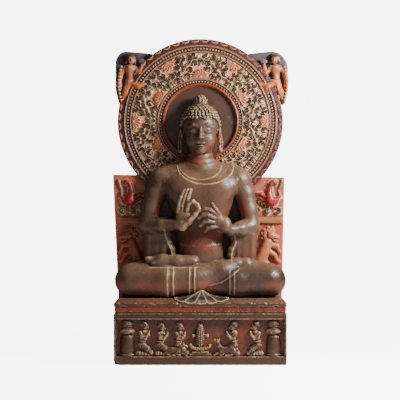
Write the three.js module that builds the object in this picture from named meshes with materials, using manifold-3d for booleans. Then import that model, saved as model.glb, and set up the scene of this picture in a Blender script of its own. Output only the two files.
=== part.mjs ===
// A carved stone relief panel: a teacher seated cross-legged before a round halo, with both hands
// raised in a teaching gesture. A throne back and two flying attendants flank him, and the seat
// stands on a plinth whose front is a frieze of kneeling figures round a wheel.
// The whole panel is cut from one block, so it is one mesh.
// Units are millimetres, +Z is up, the front looks along -Y, and the origin is the centre of the foot.

import * as THREE from "three";
import { mergeVertices } from "three/addons/utils/BufferGeometryUtils.js";
import Module from "manifold-3d";

// Driving sizes

const baseWidth = 472;
const baseDepth = 170;
const footHeight = 24;
const friezeHeight = 101;
const friezeRecess = 16;
const friezeEndMargin = 7;
const blockBandHeight = 17;
const grooveHeight = 2.5;
const grooveDepth = 4;
const redBandHeight = 14;
const redBandInset = 2;
const lipHeight = 11.5;
const seatBevelHeight = 11;
const seatBevelInset = 16;

const plateThickness = 50;
const plateTopWidth = 487;
const plateTopShift = -5.5;
const plateTopDrop = 8;
const plateFootWidth = 460;
const plateHeight = 341;
const crossbarShare = 0.598;
const crossbarHeight = 16;
const crossbarRelief = 9;
const crossbarInset = 2;

const figureHeight = 563;

const haloCentreShare = 0.874;
const haloRadius = 233;
const haloRimWidth = 16;
const haloRimDrop = 2;
const haloBorderWidth = 24;
const haloScrollWidth = 70;
const haloInnerBorderWidth = 20;
const haloRelief = 12;
const haloFilletHeight = 5;
const haloRecess = 4;
const discRecess = 9;
const filletWidth = 7;
const ornamentRelief = 8;
const haloSegments = 36;

const attendantHeight = 128;
const attendantShift = 7;
const lobeThickness = 44;

// Heights and planes that follow from them

const friezeFloor = footHeight;
const blockTop = footHeight + friezeHeight + blockBandHeight;
const seatTop = blockTop + grooveHeight + redBandHeight + lipHeight + seatBevelHeight;
const backY = baseDepth / 2;
const frontY = -baseDepth / 2;
const plateY = backY - plateThickness;
const barZ = seatTop + crossbarShare * plateHeight;
const haloY = plateY - haloRelief;
const haloZ = seatTop + haloCentreShare * figureHeight;

// Radii of the halo's rings, from the rim inwards
const borderOuter = haloRadius - haloRimWidth;
const scrollOuter = borderOuter - haloBorderWidth;
const scrollInner = scrollOuter - haloScrollWidth;
const discRadius = scrollInner - haloInnerBorderWidth;

const wasm = await Module();
wasm.setup();

// Solids from three.js geometry

function solid(geometry) {
  const flat = geometry.index ? geometry.toNonIndexed() : geometry;
  const bare = new THREE.BufferGeometry().setAttribute("position", flat.getAttribute("position"));
  const merged = mergeVertices(bare, 1e-3);
  const corners = merged.index.array;
  const triangles = [];
  for (let i = 0; i < corners.length; i += 3) {
    const [a, b, c] = [corners[i], corners[i + 1], corners[i + 2]];
    if (a !== b && b !== c && c !== a) triangles.push(a, b, c);
  }
  const build = (triVerts) =>
    new wasm.Manifold(
      new wasm.Mesh({ numProp: 3, vertProperties: merged.attributes.position.array, triVerts }),
    );
  const made = build(new Uint32Array(triangles));
  return made.volume() < 0 ? build(new Uint32Array(triangles.reverse())) : made;
}

function joined(solids) {
  return solids.reduce((whole, piece) => whole.add(piece));
}

// A closed skin over rings of points, with a point at each end
function loft(rings, firstTip, lastTip) {
  const sides = rings[0].length;
  const positions = [];
  const corner = (p) => positions.push(p.x, p.y, p.z);
  const triangle = (a, b, c) => [a, b, c].forEach(corner);
  for (let i = 0; i < sides; i++) {
    const j = (i + 1) % sides;
    triangle(firstTip, rings[0][j], rings[0][i]);
    for (let k = 0; k + 1 < rings.length; k++) {
      triangle(rings[k][i], rings[k][j], rings[k + 1][j]);
      triangle(rings[k][i], rings[k + 1][j], rings[k + 1][i]);
    }
    triangle(rings.at(-1)[i], rings.at(-1)[j], lastTip);
  }
  const made = new THREE.BufferGeometry();
  made.setAttribute("position", new THREE.Float32BufferAttribute(positions, 3));
  return solid(made);
}

// A limb through stations [point, radius]. Its ends are rounded or blunt, and flat squeezes it along Y
function limb(stations, { sides = 8, flat = 1, rounded = true } = {}) {
  const centres = stations.map(([point]) => point);
  const last = centres.length - 1;
  const direction = (i) =>
    centres[Math.min(i + 1, last)].clone().sub(centres[Math.max(i - 1, 0)]).normalize();
  const ringAt = (centre, i, radius) => {
    const along = direction(i);
    const side = new THREE.Vector3(0, 1, 0).cross(along);
    if (side.lengthSq() < 1e-6) side.set(1, 0, 0);
    side.normalize();
    const up = along.clone().cross(side).normalize();
    return Array.from({ length: sides }, (_, k) => {
      const angle = (2 * Math.PI * k) / sides;
      const offset = side
        .clone()
        .multiplyScalar(radius * Math.cos(angle))
        .addScaledVector(up, radius * Math.sin(angle));
      offset.y *= flat;
      return centre.clone().add(offset);
    });
  };
  const beyond = (i, sign, reach) => {
    const [point, radius] = stations[i];
    return point.clone().addScaledVector(direction(i), sign * reach * radius);
  };
  const capRing = (i, sign) => ringAt(beyond(i, sign, 0.6), i, stations[i][1] * 0.78);
  const rings = stations.map(([point, radius], i) => ringAt(point, i, radius));
  if (!rounded) return loft(rings, beyond(0, -1, 0.5), beyond(last, 1, 0.5));
  return loft([capRing(0, -1), ...rings, capRing(last, 1)], beyond(0, -1, 1), beyond(last, 1, 1));
}

function ball(centre, radii, across = 12, down = 8) {
  const made = new THREE.SphereGeometry(1, across, down);
  made.rotateX(Math.PI / 2);
  made.scale(radii.x, radii.y, radii.z);
  made.translate(centre.x, centre.y, centre.z);
  return solid(made);
}

// A flat shape drawn in X and Z, raised from the plane y = ground towards the front
function raised(shape, ground, height) {
  const made = new THREE.ExtrudeGeometry(shape, { depth: height, bevelEnabled: false, curveSegments: 6 });
  made.rotateX(Math.PI / 2);
  made.translate(0, ground, 0);
  return solid(made);
}

function box(x0, x1, y0, y1, z0, z1) {
  const made = new THREE.BoxGeometry(x1 - x0, y1 - y0, z1 - z0);
  made.translate((x0 + x1) / 2, (y0 + y1) / 2, (z0 + z1) / 2);
  return solid(made);
}

// A turned form round the upright axis through (x, y), from [radius, height] pairs
function turned(profile, x, y, z, sides = 10, flat = 1) {
  const made = new THREE.LatheGeometry(
    profile.map(([radius, height]) => new THREE.Vector2(radius, height)),
    sides,
  );
  made.rotateX(Math.PI / 2);
  made.scale(1, flat, 1);
  made.translate(x, y, z);
  return solid(made);
}

function smoothShape(points) {
  return new THREE.Shape(points.map(([x, z]) => new THREE.Vector2(x, z)));
}

// The plinth

// One course of the plinth, flush at the back and set in at its front and ends
function course(z0, z1, insetBelow, insetAbove) {
  const made = new THREE.BoxGeometry(1, 1, 1);
  const at = made.getAttribute("position");
  for (let i = 0; i < at.count; i++) {
    const above = at.getZ(i) > 0;
    const inset = above ? insetAbove : insetBelow;
    at.setX(i, Math.sign(at.getX(i)) * (baseWidth / 2 - inset));
    at.setY(i, at.getY(i) > 0 ? backY : frontY + inset);
    at.setZ(i, above ? z1 : z0);
  }
  return solid(made);
}

function plinth() {
  const grooveTop = blockTop + grooveHeight;
  const redTop = grooveTop + redBandHeight;
  const lipTop = redTop + lipHeight;
  const blockBody = course(0, blockTop, 0, 0).subtract(
    box(
      -baseWidth / 2 + friezeEndMargin,
      baseWidth / 2 - friezeEndMargin,
      frontY - 1,
      frontY + friezeRecess,
      friezeFloor,
      friezeFloor + friezeHeight,
    ),
  );
  return joined([
    blockBody,
    course(blockTop - 1, grooveTop + 1, grooveDepth, grooveDepth),
    course(grooveTop, redTop, redBandInset, redBandInset),
    course(redTop, lipTop, 0, 0),
    course(lipTop, seatTop, 0, seatBevelInset),
  ]);
}

// A scalloped fan, opening downwards for the cloth and upwards for flowers
function fanShape(x, z, radius, lobes, start, sweep, scallop = 0.16) {
  const points = [[x, z]];
  for (let i = 0; i <= 2 * lobes; i++) {
    const angle = start + (sweep * i) / (2 * lobes);
    const reach = i % 2 ? radius : radius * (1 - scallop);
    points.push([x + reach * Math.cos(angle), z + reach * Math.sin(angle)]);
  }
  return smoothShape(points);
}

// The pleated end of the robe, which spreads from under the shins over the bevel of the seat's edge
function clothFan() {
  const middle = 0.011 * figureHeight;
  const halfWidth = 0.143 * figureHeight;
  const rise = 0.043 * figureHeight;
  const pleats = 5;
  const thickness = 4;
  const pleatDepth = 3;
  const slope = seatBevelInset / seatBevelHeight;
  const front = (z) => frontY + Math.min(seatBevelInset, slope * (z - seatTop + seatBevelHeight));
  const edge = [];
  for (let i = 0; i <= 2 * pleats; i++) {
    const across = i / pleats - 1;
    const fall = seatBevelHeight * Math.cos((Math.PI / 2) * across) ** 0.6;
    const ridge = i % 2 === 1;
    const z = seatTop + 2 - fall * (ridge ? 1 : 0.72);
    const y = Math.max(frontY + 0.5, front(z) - thickness + (ridge ? 0 : pleatDepth));
    edge.push(new THREE.Vector3(middle + halfWidth * across, y, z));
  }
  edge.push(new THREE.Vector3(middle, front(seatTop) + 3, seatTop + rise));
  const back = edge.map((point) => new THREE.Vector3(point.x, front(seatTop) + 22, point.z));
  const crown = new THREE.Vector3(middle, front(seatTop) - thickness, seatTop + 0.35 * rise);
  return loft([edge, back], crown, crown.clone().setY(front(seatTop) + 24));
}

// The throne back and the halo

// How far the throne back reaches to one side at a height
function plateEdge(side, z) {
  const share = (z - blockTop) / (seatTop + plateHeight - blockTop);
  return plateFootWidth / 2 + share * ((plateTopWidth - plateFootWidth) / 2 + side * plateTopShift);
}

function throneBack() {
  const foot = blockTop;
  const top = seatTop + plateHeight;
  const topSide = (side) => plateTopShift + (side * plateTopWidth) / 2;
  const shape = smoothShape([
    [-plateFootWidth / 2, foot],
    [plateFootWidth / 2, foot],
    [topSide(1), top - plateTopDrop],
    [topSide(-1), top],
  ]);
  const plate = raised(shape, backY, plateThickness);
  const bar = box(
    crossbarInset - plateEdge(-1, barZ),
    plateEdge(1, barZ) - crossbarInset,
    plateY - crossbarRelief,
    plateY + 5,
    barZ,
    barZ + crossbarHeight,
  );
  return plate.add(bar);
}

function haloDisc() {
  const ground = haloY + haloRecess;
  const disc = haloY + discRecess;
  const ridge = (centre, width) => [
    [centre - width / 2, ground],
    [centre, ground - haloFilletHeight],
    [centre + width / 2, ground],
  ];
  const profile = [
    [0, disc],
    [discRadius - 1, disc],
    ...ridge(discRadius + filletWidth / 2, filletWidth),
    ...ridge(scrollInner - filletWidth / 2, filletWidth),
    ...ridge(scrollOuter + filletWidth / 2, filletWidth),
    ...ridge(borderOuter - filletWidth / 2, filletWidth),
    [haloRadius, ground + haloRimDrop],
    [haloRadius, backY],
    [0, backY],
  ];
  const made = new THREE.LatheGeometry(
    profile.map(([radius, y]) => new THREE.Vector2(radius, y)),
    haloSegments,
  );
  made.translate(0, 0, haloZ);
  return solid(made);
}

// A curled leaf: an arc that swells from its stem and closes in a point
function curlShape(x, z, radius, start, sweep, width) {
  const swell = [0.45, 0.8, 1, 0.8];
  const spot = (share, offset) => {
    const angle = start + sweep * share;
    const reach = radius + offset;
    return [x + reach * Math.cos(angle), z + reach * Math.sin(angle)];
  };
  const edge = (side) => swell.map((half, i) => spot(i / swell.length, (side * half * width) / 2));
  return smoothShape([...edge(1), spot(1, 0), ...edge(-1).reverse()]);
}

// The leaf scroll of the halo: fan flowers in two staggered rings, with curled leaves between them
function haloScroll() {
  const ground = haloY + haloRecess + 1;
  const middle = (scrollInner + scrollOuter) / 2;
  const polar = (radius, angle) => [radius * Math.cos(angle), haloZ + radius * Math.sin(angle)];
  const hidden = (angle) => Math.sin(angle) < -0.62;
  const parts = [];
  const flowers = 6;
  const flowerRadius = 0.27 * haloScrollWidth;
  for (let i = 0; i < 2 * flowers; i++) {
    const angle = Math.PI / 2 + (Math.PI * i) / flowers;
    if (hidden(angle)) continue;
    const inner = i % 2 === 0;
    const foot = inner ? scrollInner + 3 : scrollOuter - 3;
    const [x, z] = polar(foot, angle);
    const opening = inner ? angle - Math.PI / 2 : angle + Math.PI / 2;
    const fan = fanShape(x, z, flowerRadius, 5, opening, Math.PI);
    parts.push(raised(fan, ground, ornamentRelief));
  }
  const leafRadius = 0.17 * haloScrollWidth;
  const leafWidth = 0.22 * haloScrollWidth;
  const leafSweep = 3.6;
  const clusters = 2 * flowers;
  for (let i = 0; i < clusters; i++) {
    const angle = Math.PI / 2 + (2 * Math.PI * (i + 0.5)) / clusters;
    if (hidden(angle)) continue;
    const turn = i % 2 ? 1 : -1;
    // place across the ring, angle from the cluster's middle, and the way the leaf curls
    const leaves = [
      [middle - 0.22 * haloScrollWidth, 0, turn],
      [middle + 0.17 * haloScrollWidth, 0.13, -turn],
      [middle + 0.17 * haloScrollWidth, -0.13, turn],
    ];
    for (const [radius, shift, way] of leaves) {
      const [x, z] = polar(radius, angle + shift);
      const start = angle - way * 1.8;
      const leaf = curlShape(x, z, leafRadius, start, way * leafSweep, leafWidth);
      parts.push(raised(leaf, ground, ornamentRelief));
    }
  }
  return joined(parts);
}

// The seated figure

// Its forms are laid out for this height, and scaled from it to the height above
const layoutHeight = 558;
const unit = figureHeight / layoutHeight;

// A point of the figure: across, forward of the throne back, and above the seat
function at(x, forward, z) {
  return new THREE.Vector3(x * unit, plateY - forward * unit, seatTop + z * unit);
}

function size(x, y, z) {
  return new THREE.Vector3(x, y, z).multiplyScalar(unit);
}

function chain(stations, form) {
  return limb(
    stations.map(([x, forward, z, radius]) => [at(x, forward, z), radius * unit]),
    form,
  );
}

// The torso's sections: height, half width, forward centre, half depth
const torsoSections = [
  [40, 84, 22, 44],
  [105, 66, 26, 42],
  [150, 63, 27, 42],
  [205, 72, 28, 45],
  [255, 90, 29, 49],
  [295, 101, 28, 50],
  [328, 108, 24, 43],
  [349, 97, 21, 36],
  [363, 70, 19, 31],
  [376, 42, 19, 28],
];

function torso() {
  const sides = 14;
  const rings = torsoSections.map(([z, half, centre, deep]) =>
    Array.from({ length: sides }, (_, i) => {
      const angle = (2 * Math.PI * i) / sides;
      return at(half * Math.cos(angle), centre - deep * Math.sin(angle), z);
    }),
  );
  return loft(rings, at(0, 22, 30), at(0, 19, 384));
}

// How far forward the torso's surface lies at a height and a distance from the middle
function torsoFront(x, z) {
  const above = torsoSections.findIndex(([height]) => height >= z);
  const [z0, w0, c0, d0] = torsoSections[above - 1];
  const [z1, w1, c1, d1] = torsoSections[above];
  const t = (z - z0) / (z1 - z0);
  const half = w0 + t * (w1 - w0);
  const reach = Math.sqrt(Math.max(0, 1 - (x / half) ** 2));
  return c0 + t * (c1 - c0) + (d0 + t * (d1 - d0)) * reach;
}

// The robe's neck band
function collar() {
  const steps = 10;
  const [halfWidth, drop, height, radius] = [62, 50, 352, 5];
  const stations = Array.from({ length: steps + 1 }, (_, i) => {
    const angle = Math.PI * (1 + i / steps);
    const x = halfWidth * Math.cos(angle);
    const z = height + drop * Math.sin(angle);
    return [x, torsoFront(x, z) - 1, z, radius];
  });
  return chain(stations, { sides: 6, rounded: false });
}

function legs() {
  const parts = [];
  for (const side of [-1, 1]) {
    parts.push(
      chain(
        [
          [side * 62, 24, 62, 48],
          [side * 130, 42, 54, 48],
          [side * 187, 54, 46, 47],
        ],
        { sides: 10 },
      ),
    );
  }
  const frontShin = [
    [-188, 58, 46, 47],
    [-95, 68, 46, 46],
    [-10, 71, 50, 41],
    [62, 68, 70, 30],
    [102, 62, 90, 19],
  ];
  const backShin = [
    [188, 58, 46, 47],
    [100, 64, 41, 43],
    [20, 58, 34, 34],
  ];
  const restingFoot = [
    [-20, 70, 97, 19],
    [-62, 73, 97, 18.5],
    [-104, 70, 98, 19.5],
    [-136, 64, 98, 14],
  ];
  const farFoot = [
    [100, 62, 90, 18],
    [128, 62, 92, 14],
    [148, 60, 84, 10],
  ];
  // the stone left between the knees and the throne back
  const filling = [
    [-186, 20, 36, 32],
    [186, 20, 36, 32],
  ];
  parts.push(chain(frontShin, { sides: 10 }), chain(backShin, { sides: 10 }));
  parts.push(chain(restingFoot, { sides: 7 }), chain(farFoot, { sides: 6, rounded: false }));
  parts.push(chain(filling, { sides: 7, rounded: false }));
  parts.push(ball(at(0, 30, 48), size(150, 46, 50), 10, 6));
  return joined(parts);
}

function arms() {
  const upperArms = [
    [
      [-104, 20, 320, 32],
      [-124, 22, 286, 28.5],
      [-138, 28, 240, 25.5],
      [-146, 35, 200, 24],
    ],
    [
      [104, 20, 320, 32],
      [122, 22, 286, 28.5],
      [134, 28, 238, 25],
      [139, 34, 196, 24],
    ],
  ];
  const forearms = [
    [
      [-146, 35, 198, 25],
      [-104, 60, 198, 21],
      [-58, 84, 202, 14.5],
    ],
    [
      [139, 34, 194, 25],
      [110, 60, 187, 21],
      [82, 80, 184, 14.5],
    ],
  ];
  const parts = [...upperArms, ...forearms].map((stations) => chain(stations, { sides: 8, rounded: false }));
  for (const side of [-1, 1]) {
    parts.push(ball(at(side * 104, 20, 320), size(37, 34, 36), 10, 6));
    parts.push(ball(at(side * 62, 14, 344), size(44, 26, 26), 8, 6));
  }
  return joined(parts);
}

// The robe's ends, which hang from the forearms to the lap
function sleeves() {
  const drape = (x0, x1, forward, top, foot) => {
    const width = (x1 - x0) / 2;
    const middle = (x0 + x1) / 2;
    const sections = [
      [foot, width * 0.96, 37],
      [(foot + top) / 2, width * 0.94, 35],
      [top, width * 1.04, 35],
    ];
    const sides = 10;
    const rings = sections.map(([z, half, deep]) =>
      Array.from({ length: sides }, (_, i) => {
        const angle = (2 * Math.PI * (i + 0.5)) / sides;
        return at(middle + half * Math.cos(angle), forward - deep * Math.sin(angle), z);
      }),
    );
    return loft(rings, at(middle, forward, foot - 6), at(middle, forward, top + 6));
  };
  return drape(-156, -82, 23, 192, 70).add(drape(84, 155, 23, 188, 70));
}

function hands() {
  const finger = (radius, ...joints) =>
    chain(
      joints.map((joint) => [...joint, radius]),
      { sides: 5, rounded: false },
    );
  const raisedFinger = (i) =>
    finger(
      5.8 - 0.3 * i,
      [-57 + 9 * i, 92, 240],
      [-53 + 9 * i, 97, 268],
      [-42 + 8.5 * i, 94, 293 - 2 * i],
    );
  const bentFinger = (i) =>
    finger(
      6,
      [43 - 9 * i, 98, 219 - 13.5 * i],
      [24 - 8 * i, 104, 237 - 15.5 * i],
      [8 - 5 * i, 100, 232 - 16 * i],
    );
  return joined([
    // the raised palm and the three fingers that stand up from it
    ball(at(-48, 90, 218), size(18, 10, 29), 8, 6),
    ball(at(-33, 95, 214), size(13, 9.5, 18), 6, 4),
    ...[0, 1, 2].map(raisedFinger),
    // its forefinger and thumb, which close in a ring
    finger(4.6, [-36, 94, 246], [-26, 102, 262], [-11, 103, 255], [-5, 102, 243]),
    finger(5.4, [-40, 96, 204], [-20, 103, 220], [-7, 104, 241]),
    // the other hand, turned to the body, with its fingers bent towards the ring
    chain(
      [
        [80, 80, 182, 15],
        [60, 88, 194, 19],
        [42, 93, 206, 21],
      ],
      { sides: 8, flat: 0.6 },
    ),
    finger(5, [50, 96, 228], [39, 101, 246], [33, 98, 252]),
    ...[0, 1, 2].map(bentFinger),
    finger(4.6, [50, 92, 226], [26, 97, 244], [6, 98, 243]),
  ]);
}

function head() {
  const parts = [
    chain(
      [
        [0, 20, 352, 38],
        [0, 22, 402, 34],
      ],
      { sides: 10 },
    ),
    // the face, the hair and the raised crown
    ball(at(0, 36, 446), size(45, 48, 54), 12, 8),
    ball(at(0, 30, 474), size(53, 50, 54), 12, 6),
    ball(at(0, 26, 532), size(20, 20, 27), 8, 6),
    // nose, lips, chin, and lowered eyelids
    chain(
      [
        [0, 82, 462, 3.5],
        [0, 90, 439, 5.5],
      ],
      { sides: 6, rounded: false },
    ),
    ball(at(0, 78, 419), size(12, 7, 5), 6, 4),
    ball(at(0, 70, 402), size(13, 9, 8), 6, 4),
  ];
  for (const side of [-1, 1]) {
    parts.push(
      ball(at(side * 19, 72, 453), size(11, 7, 6), 6, 4),
      chain(
        [
          [side * 6, 80, 468, 2.6],
          [side * 21, 76, 473, 2.6],
          [side * 36, 64, 466, 2.2],
        ],
        { sides: 4, rounded: false },
      ),
      chain(
        [
          [side * 52, 26, 456, 9],
          [side * 57, 27, 428, 6.5],
          [side * 55, 29, 401, 7.5],
        ],
        { sides: 6, flat: 0.8, rounded: false },
      ),
    );
  }
  return joined([...parts, ...curls()]);
}

// Rows of small round curls over the hair and the crown
function curls() {
  const parts = [];
  const dome = (centre, radii, rows, firstLatitude, rowStep, spacing, curl) => {
    for (let row = 0; row < rows; row++) {
      const latitude = firstLatitude + row * rowStep;
      const ring = Math.cos(latitude) * radii[0];
      const count = Math.max(1, Math.round((Math.PI * ring) / spacing));
      for (let i = 0; i < count; i++) {
        const longitude = Math.PI * ((i + 0.5) / count);
        const x = centre[0] + radii[0] * Math.cos(latitude) * Math.cos(longitude);
        const forward = centre[1] + radii[1] * Math.cos(latitude) * Math.sin(longitude);
        const z = centre[2] + radii[2] * Math.sin(latitude);
        parts.push(ball(at(x, forward, z), size(curl, curl, curl), 4, 2));
      }
    }
  };
  dome([0, 30, 474], [53, 50, 54], 3, 0.42, 0.34, 21, 8);
  dome([0, 26, 532], [20, 20, 26], 2, 0.1, 0.6, 18, 6.5);
  return parts;
}

function figure() {
  return joined([torso(), legs(), sleeves(), arms(), hands(), collar(), head()]);
}

// The two flying attendants, each on a lobe of stone at a shoulder of the halo

const lobeFoot = haloZ + 0.22 * haloRadius;
const attendantFoot = haloZ + 0.27 * haloRadius;
const lobeOverhang = 1.5;
const lobeShift = 4;

function lobe(side) {
  const outer = plateTopWidth / 2 + lobeOverhang + side * lobeShift;
  const inner = 0.58 * haloRadius;
  const top = haloZ + 0.858 * haloRadius;
  const foot = lobeFoot;
  const corner = 0.14 * haloRadius;
  const shape = new THREE.Shape();
  shape.moveTo(side * inner, foot);
  shape.lineTo(side * (outer - 10), foot);
  shape.lineTo(side * outer, foot + 1.2 * corner);
  shape.lineTo(side * outer, top - 1.1 * corner);
  shape.quadraticCurveTo(side * outer, top, side * (outer - corner), top);
  shape.lineTo(side * inner, top - 0.03 * haloRadius);
  return raised(shape, backY, lobeThickness);
}

function attendant(side) {
  const attendantLayoutHeight = 128;
  const share = attendantHeight / attendantLayoutHeight;
  const middleX = 0.835 * haloRadius + side * attendantShift;
  const ground = backY - lobeThickness + 3;
  const spot = (x, forward, z) =>
    new THREE.Vector3(side * (middleX + x * share), ground - forward * share, attendantFoot + z * share);
  const part = (stations, sides = 5) =>
    limb(
      stations.map(([x, forward, z, radius]) => [spot(x, forward, z), radius * share]),
      { sides, rounded: false },
    );
  return joined([
    // head and hair
    ball(spot(4, 12, 112), new THREE.Vector3(11, 11, 13).multiplyScalar(share), 6, 4),
    // neck, chest, waist and hips
    part(
      [
        [6, 9, 88, 12],
        [6, 8, 68, 9],
        [7, 8, 50, 11],
      ],
      6,
    ),
    // the legs, bent back in flight
    part([
      [2, 10, 46, 10],
      [-22, 14, 30, 9],
      [-36, 12, 42, 6],
    ]),
    part([
      [10, 10, 44, 10],
      [20, 12, 14, 7.5],
      [30, 8, 4, 5],
    ]),
    // one arm raised to the halo, one held to the side with a garland
    part([
      [-4, 10, 90, 5.5],
      [-22, 14, 78, 5],
      [-26, 14, 102, 4.5],
    ]),
    ball(spot(-27, 14, 110), new THREE.Vector3(7, 6, 7).multiplyScalar(share), 4, 2),
    part([
      [16, 9, 90, 5.5],
      [31, 10, 78, 5],
      [34, 10, 52, 5.5],
      [31, 8, 24, 4],
    ]),
  ]);
}

// The creatures of the throne back: a curling crest above the crossbar and a seated lion below

function throneBeasts(side) {
  const ground = plateY + 1;
  const crestRelief = ornamentRelief + 3;
  const cell = plateHeight - (barZ - seatTop) - crossbarHeight;
  const crestZ = barZ + crossbarHeight + 0.46 * cell;
  const crestX = side * (plateEdge(side, crestZ) - 0.37 * cell);
  const turn = side;
  const facing = side > 0 ? 0 : Math.PI;
  // each curl in cells: place from the middle, radius, start and sweep in radians, and width
  const crest = [
    [0, 0, 0.2, -1.9, 2.7, 0.24],
    [0.02, 0.3, 0.1, 3.3, -3.4, 0.12],
    [0.06, -0.3, 0.11, -3, 4, 0.1],
  ];
  const parts = crest.map(([across, up, radius, start, sweep, width]) => {
    const [x, z] = [crestX + turn * across * cell, crestZ + up * cell];
    return raised(
      curlShape(x, z, radius * cell, facing + turn * start, turn * sweep, width * cell),
      ground,
      crestRelief,
    );
  });
  const lionFoot = seatTop + 0.2 * plateHeight;
  const edge = plateEdge(side, lionFoot);
  const share = (barZ - lionFoot) / 130;
  const spot = (x, forward, z) =>
    new THREE.Vector3(side * (edge - 52 * share + x * share), plateY - forward, lionFoot + z * share);
  const part = (stations, sides = 5) =>
    limb(
      stations.map(([x, forward, z, radius]) => [spot(x, forward, z), radius * share]),
      { sides, flat: 0.7, rounded: false },
    );
  parts.push(
    part(
      [
        [-26, 4, 30, 17],
        [4, 6, 34, 19],
        [18, 6, 60, 14],
      ],
      6,
    ),
    part([
      [14, 6, 64, 12],
      [14, 7, 96, 15],
    ]),
    part([
      [22, 9, 94, 11],
      [37, 8, 84, 7],
    ]),
    part([
      [18, 7, 40, 7],
      [36, 7, 24, 6],
      [40, 6, 8, 6],
    ]),
    part([
      [-16, 5, 18, 10],
      [10, 6, 10, 7],
      [24, 5, 6, 6],
    ]),
  );
  return joined(parts);
}

// The frieze

function kneeler(x, facing, share) {
  const ground = frontY + friezeRecess;
  const spot = (across, forward, z) =>
    new THREE.Vector3(x + facing * across * share, ground - forward * share, friezeFloor + z * share);
  const part = (...stations) =>
    limb(
      stations.map(([across, forward, z, radius]) => [spot(across, forward, z), radius * share]),
      { sides: 5, rounded: false },
    );
  return joined([
    ball(spot(0, 6, 80), new THREE.Vector3(9, 8.5, 10.5).multiplyScalar(share), 5, 4),
    part([-2, 4, 66, 8], [-3, 4, 44, 8]),
    part([-2, 4, 36, 10], [20, 6, 14, 7]),
    part([-10, 5, 9, 9], [12, 5, 6, 5]),
    part([-6, 8, 62, 4], [2, 12, 46, 4], [13, 10, 54, 4.5]),
  ]);
}

function deer(x, facing, share) {
  const ground = frontY + friezeRecess;
  const spot = (across, forward, z) =>
    new THREE.Vector3(x + facing * across * share, ground - forward * share, friezeFloor + z * share);
  const part = (...stations) =>
    limb(
      stations.map(([across, forward, z, radius]) => [spot(across, forward, z), radius * share]),
      { sides: 5, rounded: false },
    );
  return joined([
    part([-22, 5, 14, 10], [12, 6, 14, 9]),
    part([14, 7, 16, 7], [20, 8, 34, 5]),
    part([18, 8, 38, 5.5], [29, 8, 33, 3.5]),
    part([-20, 6, 5, 5], [24, 7, 4, 4]),
  ]);
}

function frieze() {
  const share = friezeHeight / 100;
  const ground = frontY + friezeRecess;
  const half = baseWidth / 2 - friezeEndMargin;
  const pilasterRadius = 0.17 * friezeHeight;
  const pilaster = [
    [0, 0],
    [1.12, 0],
    [1.12, 0.06],
    [0.92, 0.1],
    [1.02, 0.36],
    [0.95, 0.6],
    [0.74, 0.63],
    [1.04, 0.71],
    [0.98, 0.79],
    [0.66, 0.83],
    [0.86, 0.92],
    [0.7, 1.005],
    [0, 1.005],
  ].map(([radius, z]) => [radius * pilasterRadius, z * friezeHeight]);
  const parts = [];
  for (const side of [-1, 1]) {
    const pilasterX = side * (half - 1.7 * pilasterRadius);
    parts.push(turned(pilaster, pilasterX, ground + 1, friezeFloor, 8, 0.82));
    parts.push(deer(side * 0.31 * half, -side, 0.95 * share));
  }
  // three kneelers on one side of the wheel and two on the other: place across the frieze and size
  const kneelers = [
    [-0.68, 0.98],
    [-0.46, 0.92],
    [-0.25, 0.92],
    [0.39, 0.95],
    [0.67, 0.96],
  ];
  for (const [place, fraction] of kneelers) {
    parts.push(kneeler(place * half, -Math.sign(place), fraction * share));
  }
  // the wheel, seen on its edge, on a low stand
  const wheel = ball(
    new THREE.Vector3(0, ground - 1, friezeFloor + 0.55 * friezeHeight),
    new THREE.Vector3(0.12, 0.14, 0.4).multiplyScalar(friezeHeight),
    8,
    8,
  );
  const stand = turned(
    [
      [0, 0],
      [0.3, 0],
      [0.3, 0.08],
      [0.16, 0.16],
      [0.2, 0.26],
      [0, 0.26],
    ].map(([radius, z]) => [radius * friezeHeight, z * friezeHeight]),
    0,
    ground + 1,
    friezeFloor,
    8,
    0.4,
  );
  return joined([...parts, wheel, stand]);
}

// The whole panel

const block = joined([
  plinth(),
  clothFan(),
  throneBack(),
  haloDisc(),
  haloScroll(),
  lobe(-1),
  lobe(1),
  attendant(-1),
  attendant(1),
  throneBeasts(-1),
  throneBeasts(1),
  figure(),
  frieze(),
]);

const surface = block.getMesh();
const geometry = new THREE.BufferGeometry();
geometry.setAttribute("position", new THREE.BufferAttribute(surface.vertProperties, surface.numProp));
geometry.setIndex(new THREE.BufferAttribute(surface.triVerts, 1));

const stone = new THREE.MeshStandardMaterial({ color: 0x5a3d2c, roughness: 0.55, metalness: 0 });
const panel = new THREE.Mesh(geometry, stone);
panel.name = "relief_panel";

const group = new THREE.Group();
group.add(panel);
export default group;
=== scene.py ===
import math
from itertools import product

import bpy
import numpy as np
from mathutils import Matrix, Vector


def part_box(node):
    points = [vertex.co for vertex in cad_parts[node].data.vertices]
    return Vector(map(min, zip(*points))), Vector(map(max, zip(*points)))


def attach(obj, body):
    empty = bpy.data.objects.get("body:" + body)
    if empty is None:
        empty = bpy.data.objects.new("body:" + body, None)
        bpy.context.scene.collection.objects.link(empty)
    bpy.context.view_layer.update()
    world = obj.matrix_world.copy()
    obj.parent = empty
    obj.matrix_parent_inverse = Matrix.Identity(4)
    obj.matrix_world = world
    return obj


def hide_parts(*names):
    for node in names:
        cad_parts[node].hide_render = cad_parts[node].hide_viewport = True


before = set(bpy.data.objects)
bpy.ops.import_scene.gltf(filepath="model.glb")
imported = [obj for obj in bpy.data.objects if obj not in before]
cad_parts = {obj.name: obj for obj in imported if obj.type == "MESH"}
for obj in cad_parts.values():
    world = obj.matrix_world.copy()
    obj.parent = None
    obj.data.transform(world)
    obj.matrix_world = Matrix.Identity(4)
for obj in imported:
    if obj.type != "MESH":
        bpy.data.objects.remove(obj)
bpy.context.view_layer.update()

# A painted stone relief panel. The CAD gives its box and its solid. The carving is sculpted here as
# distance fields in millimetres, meshed, and painted from its own shape.

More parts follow.
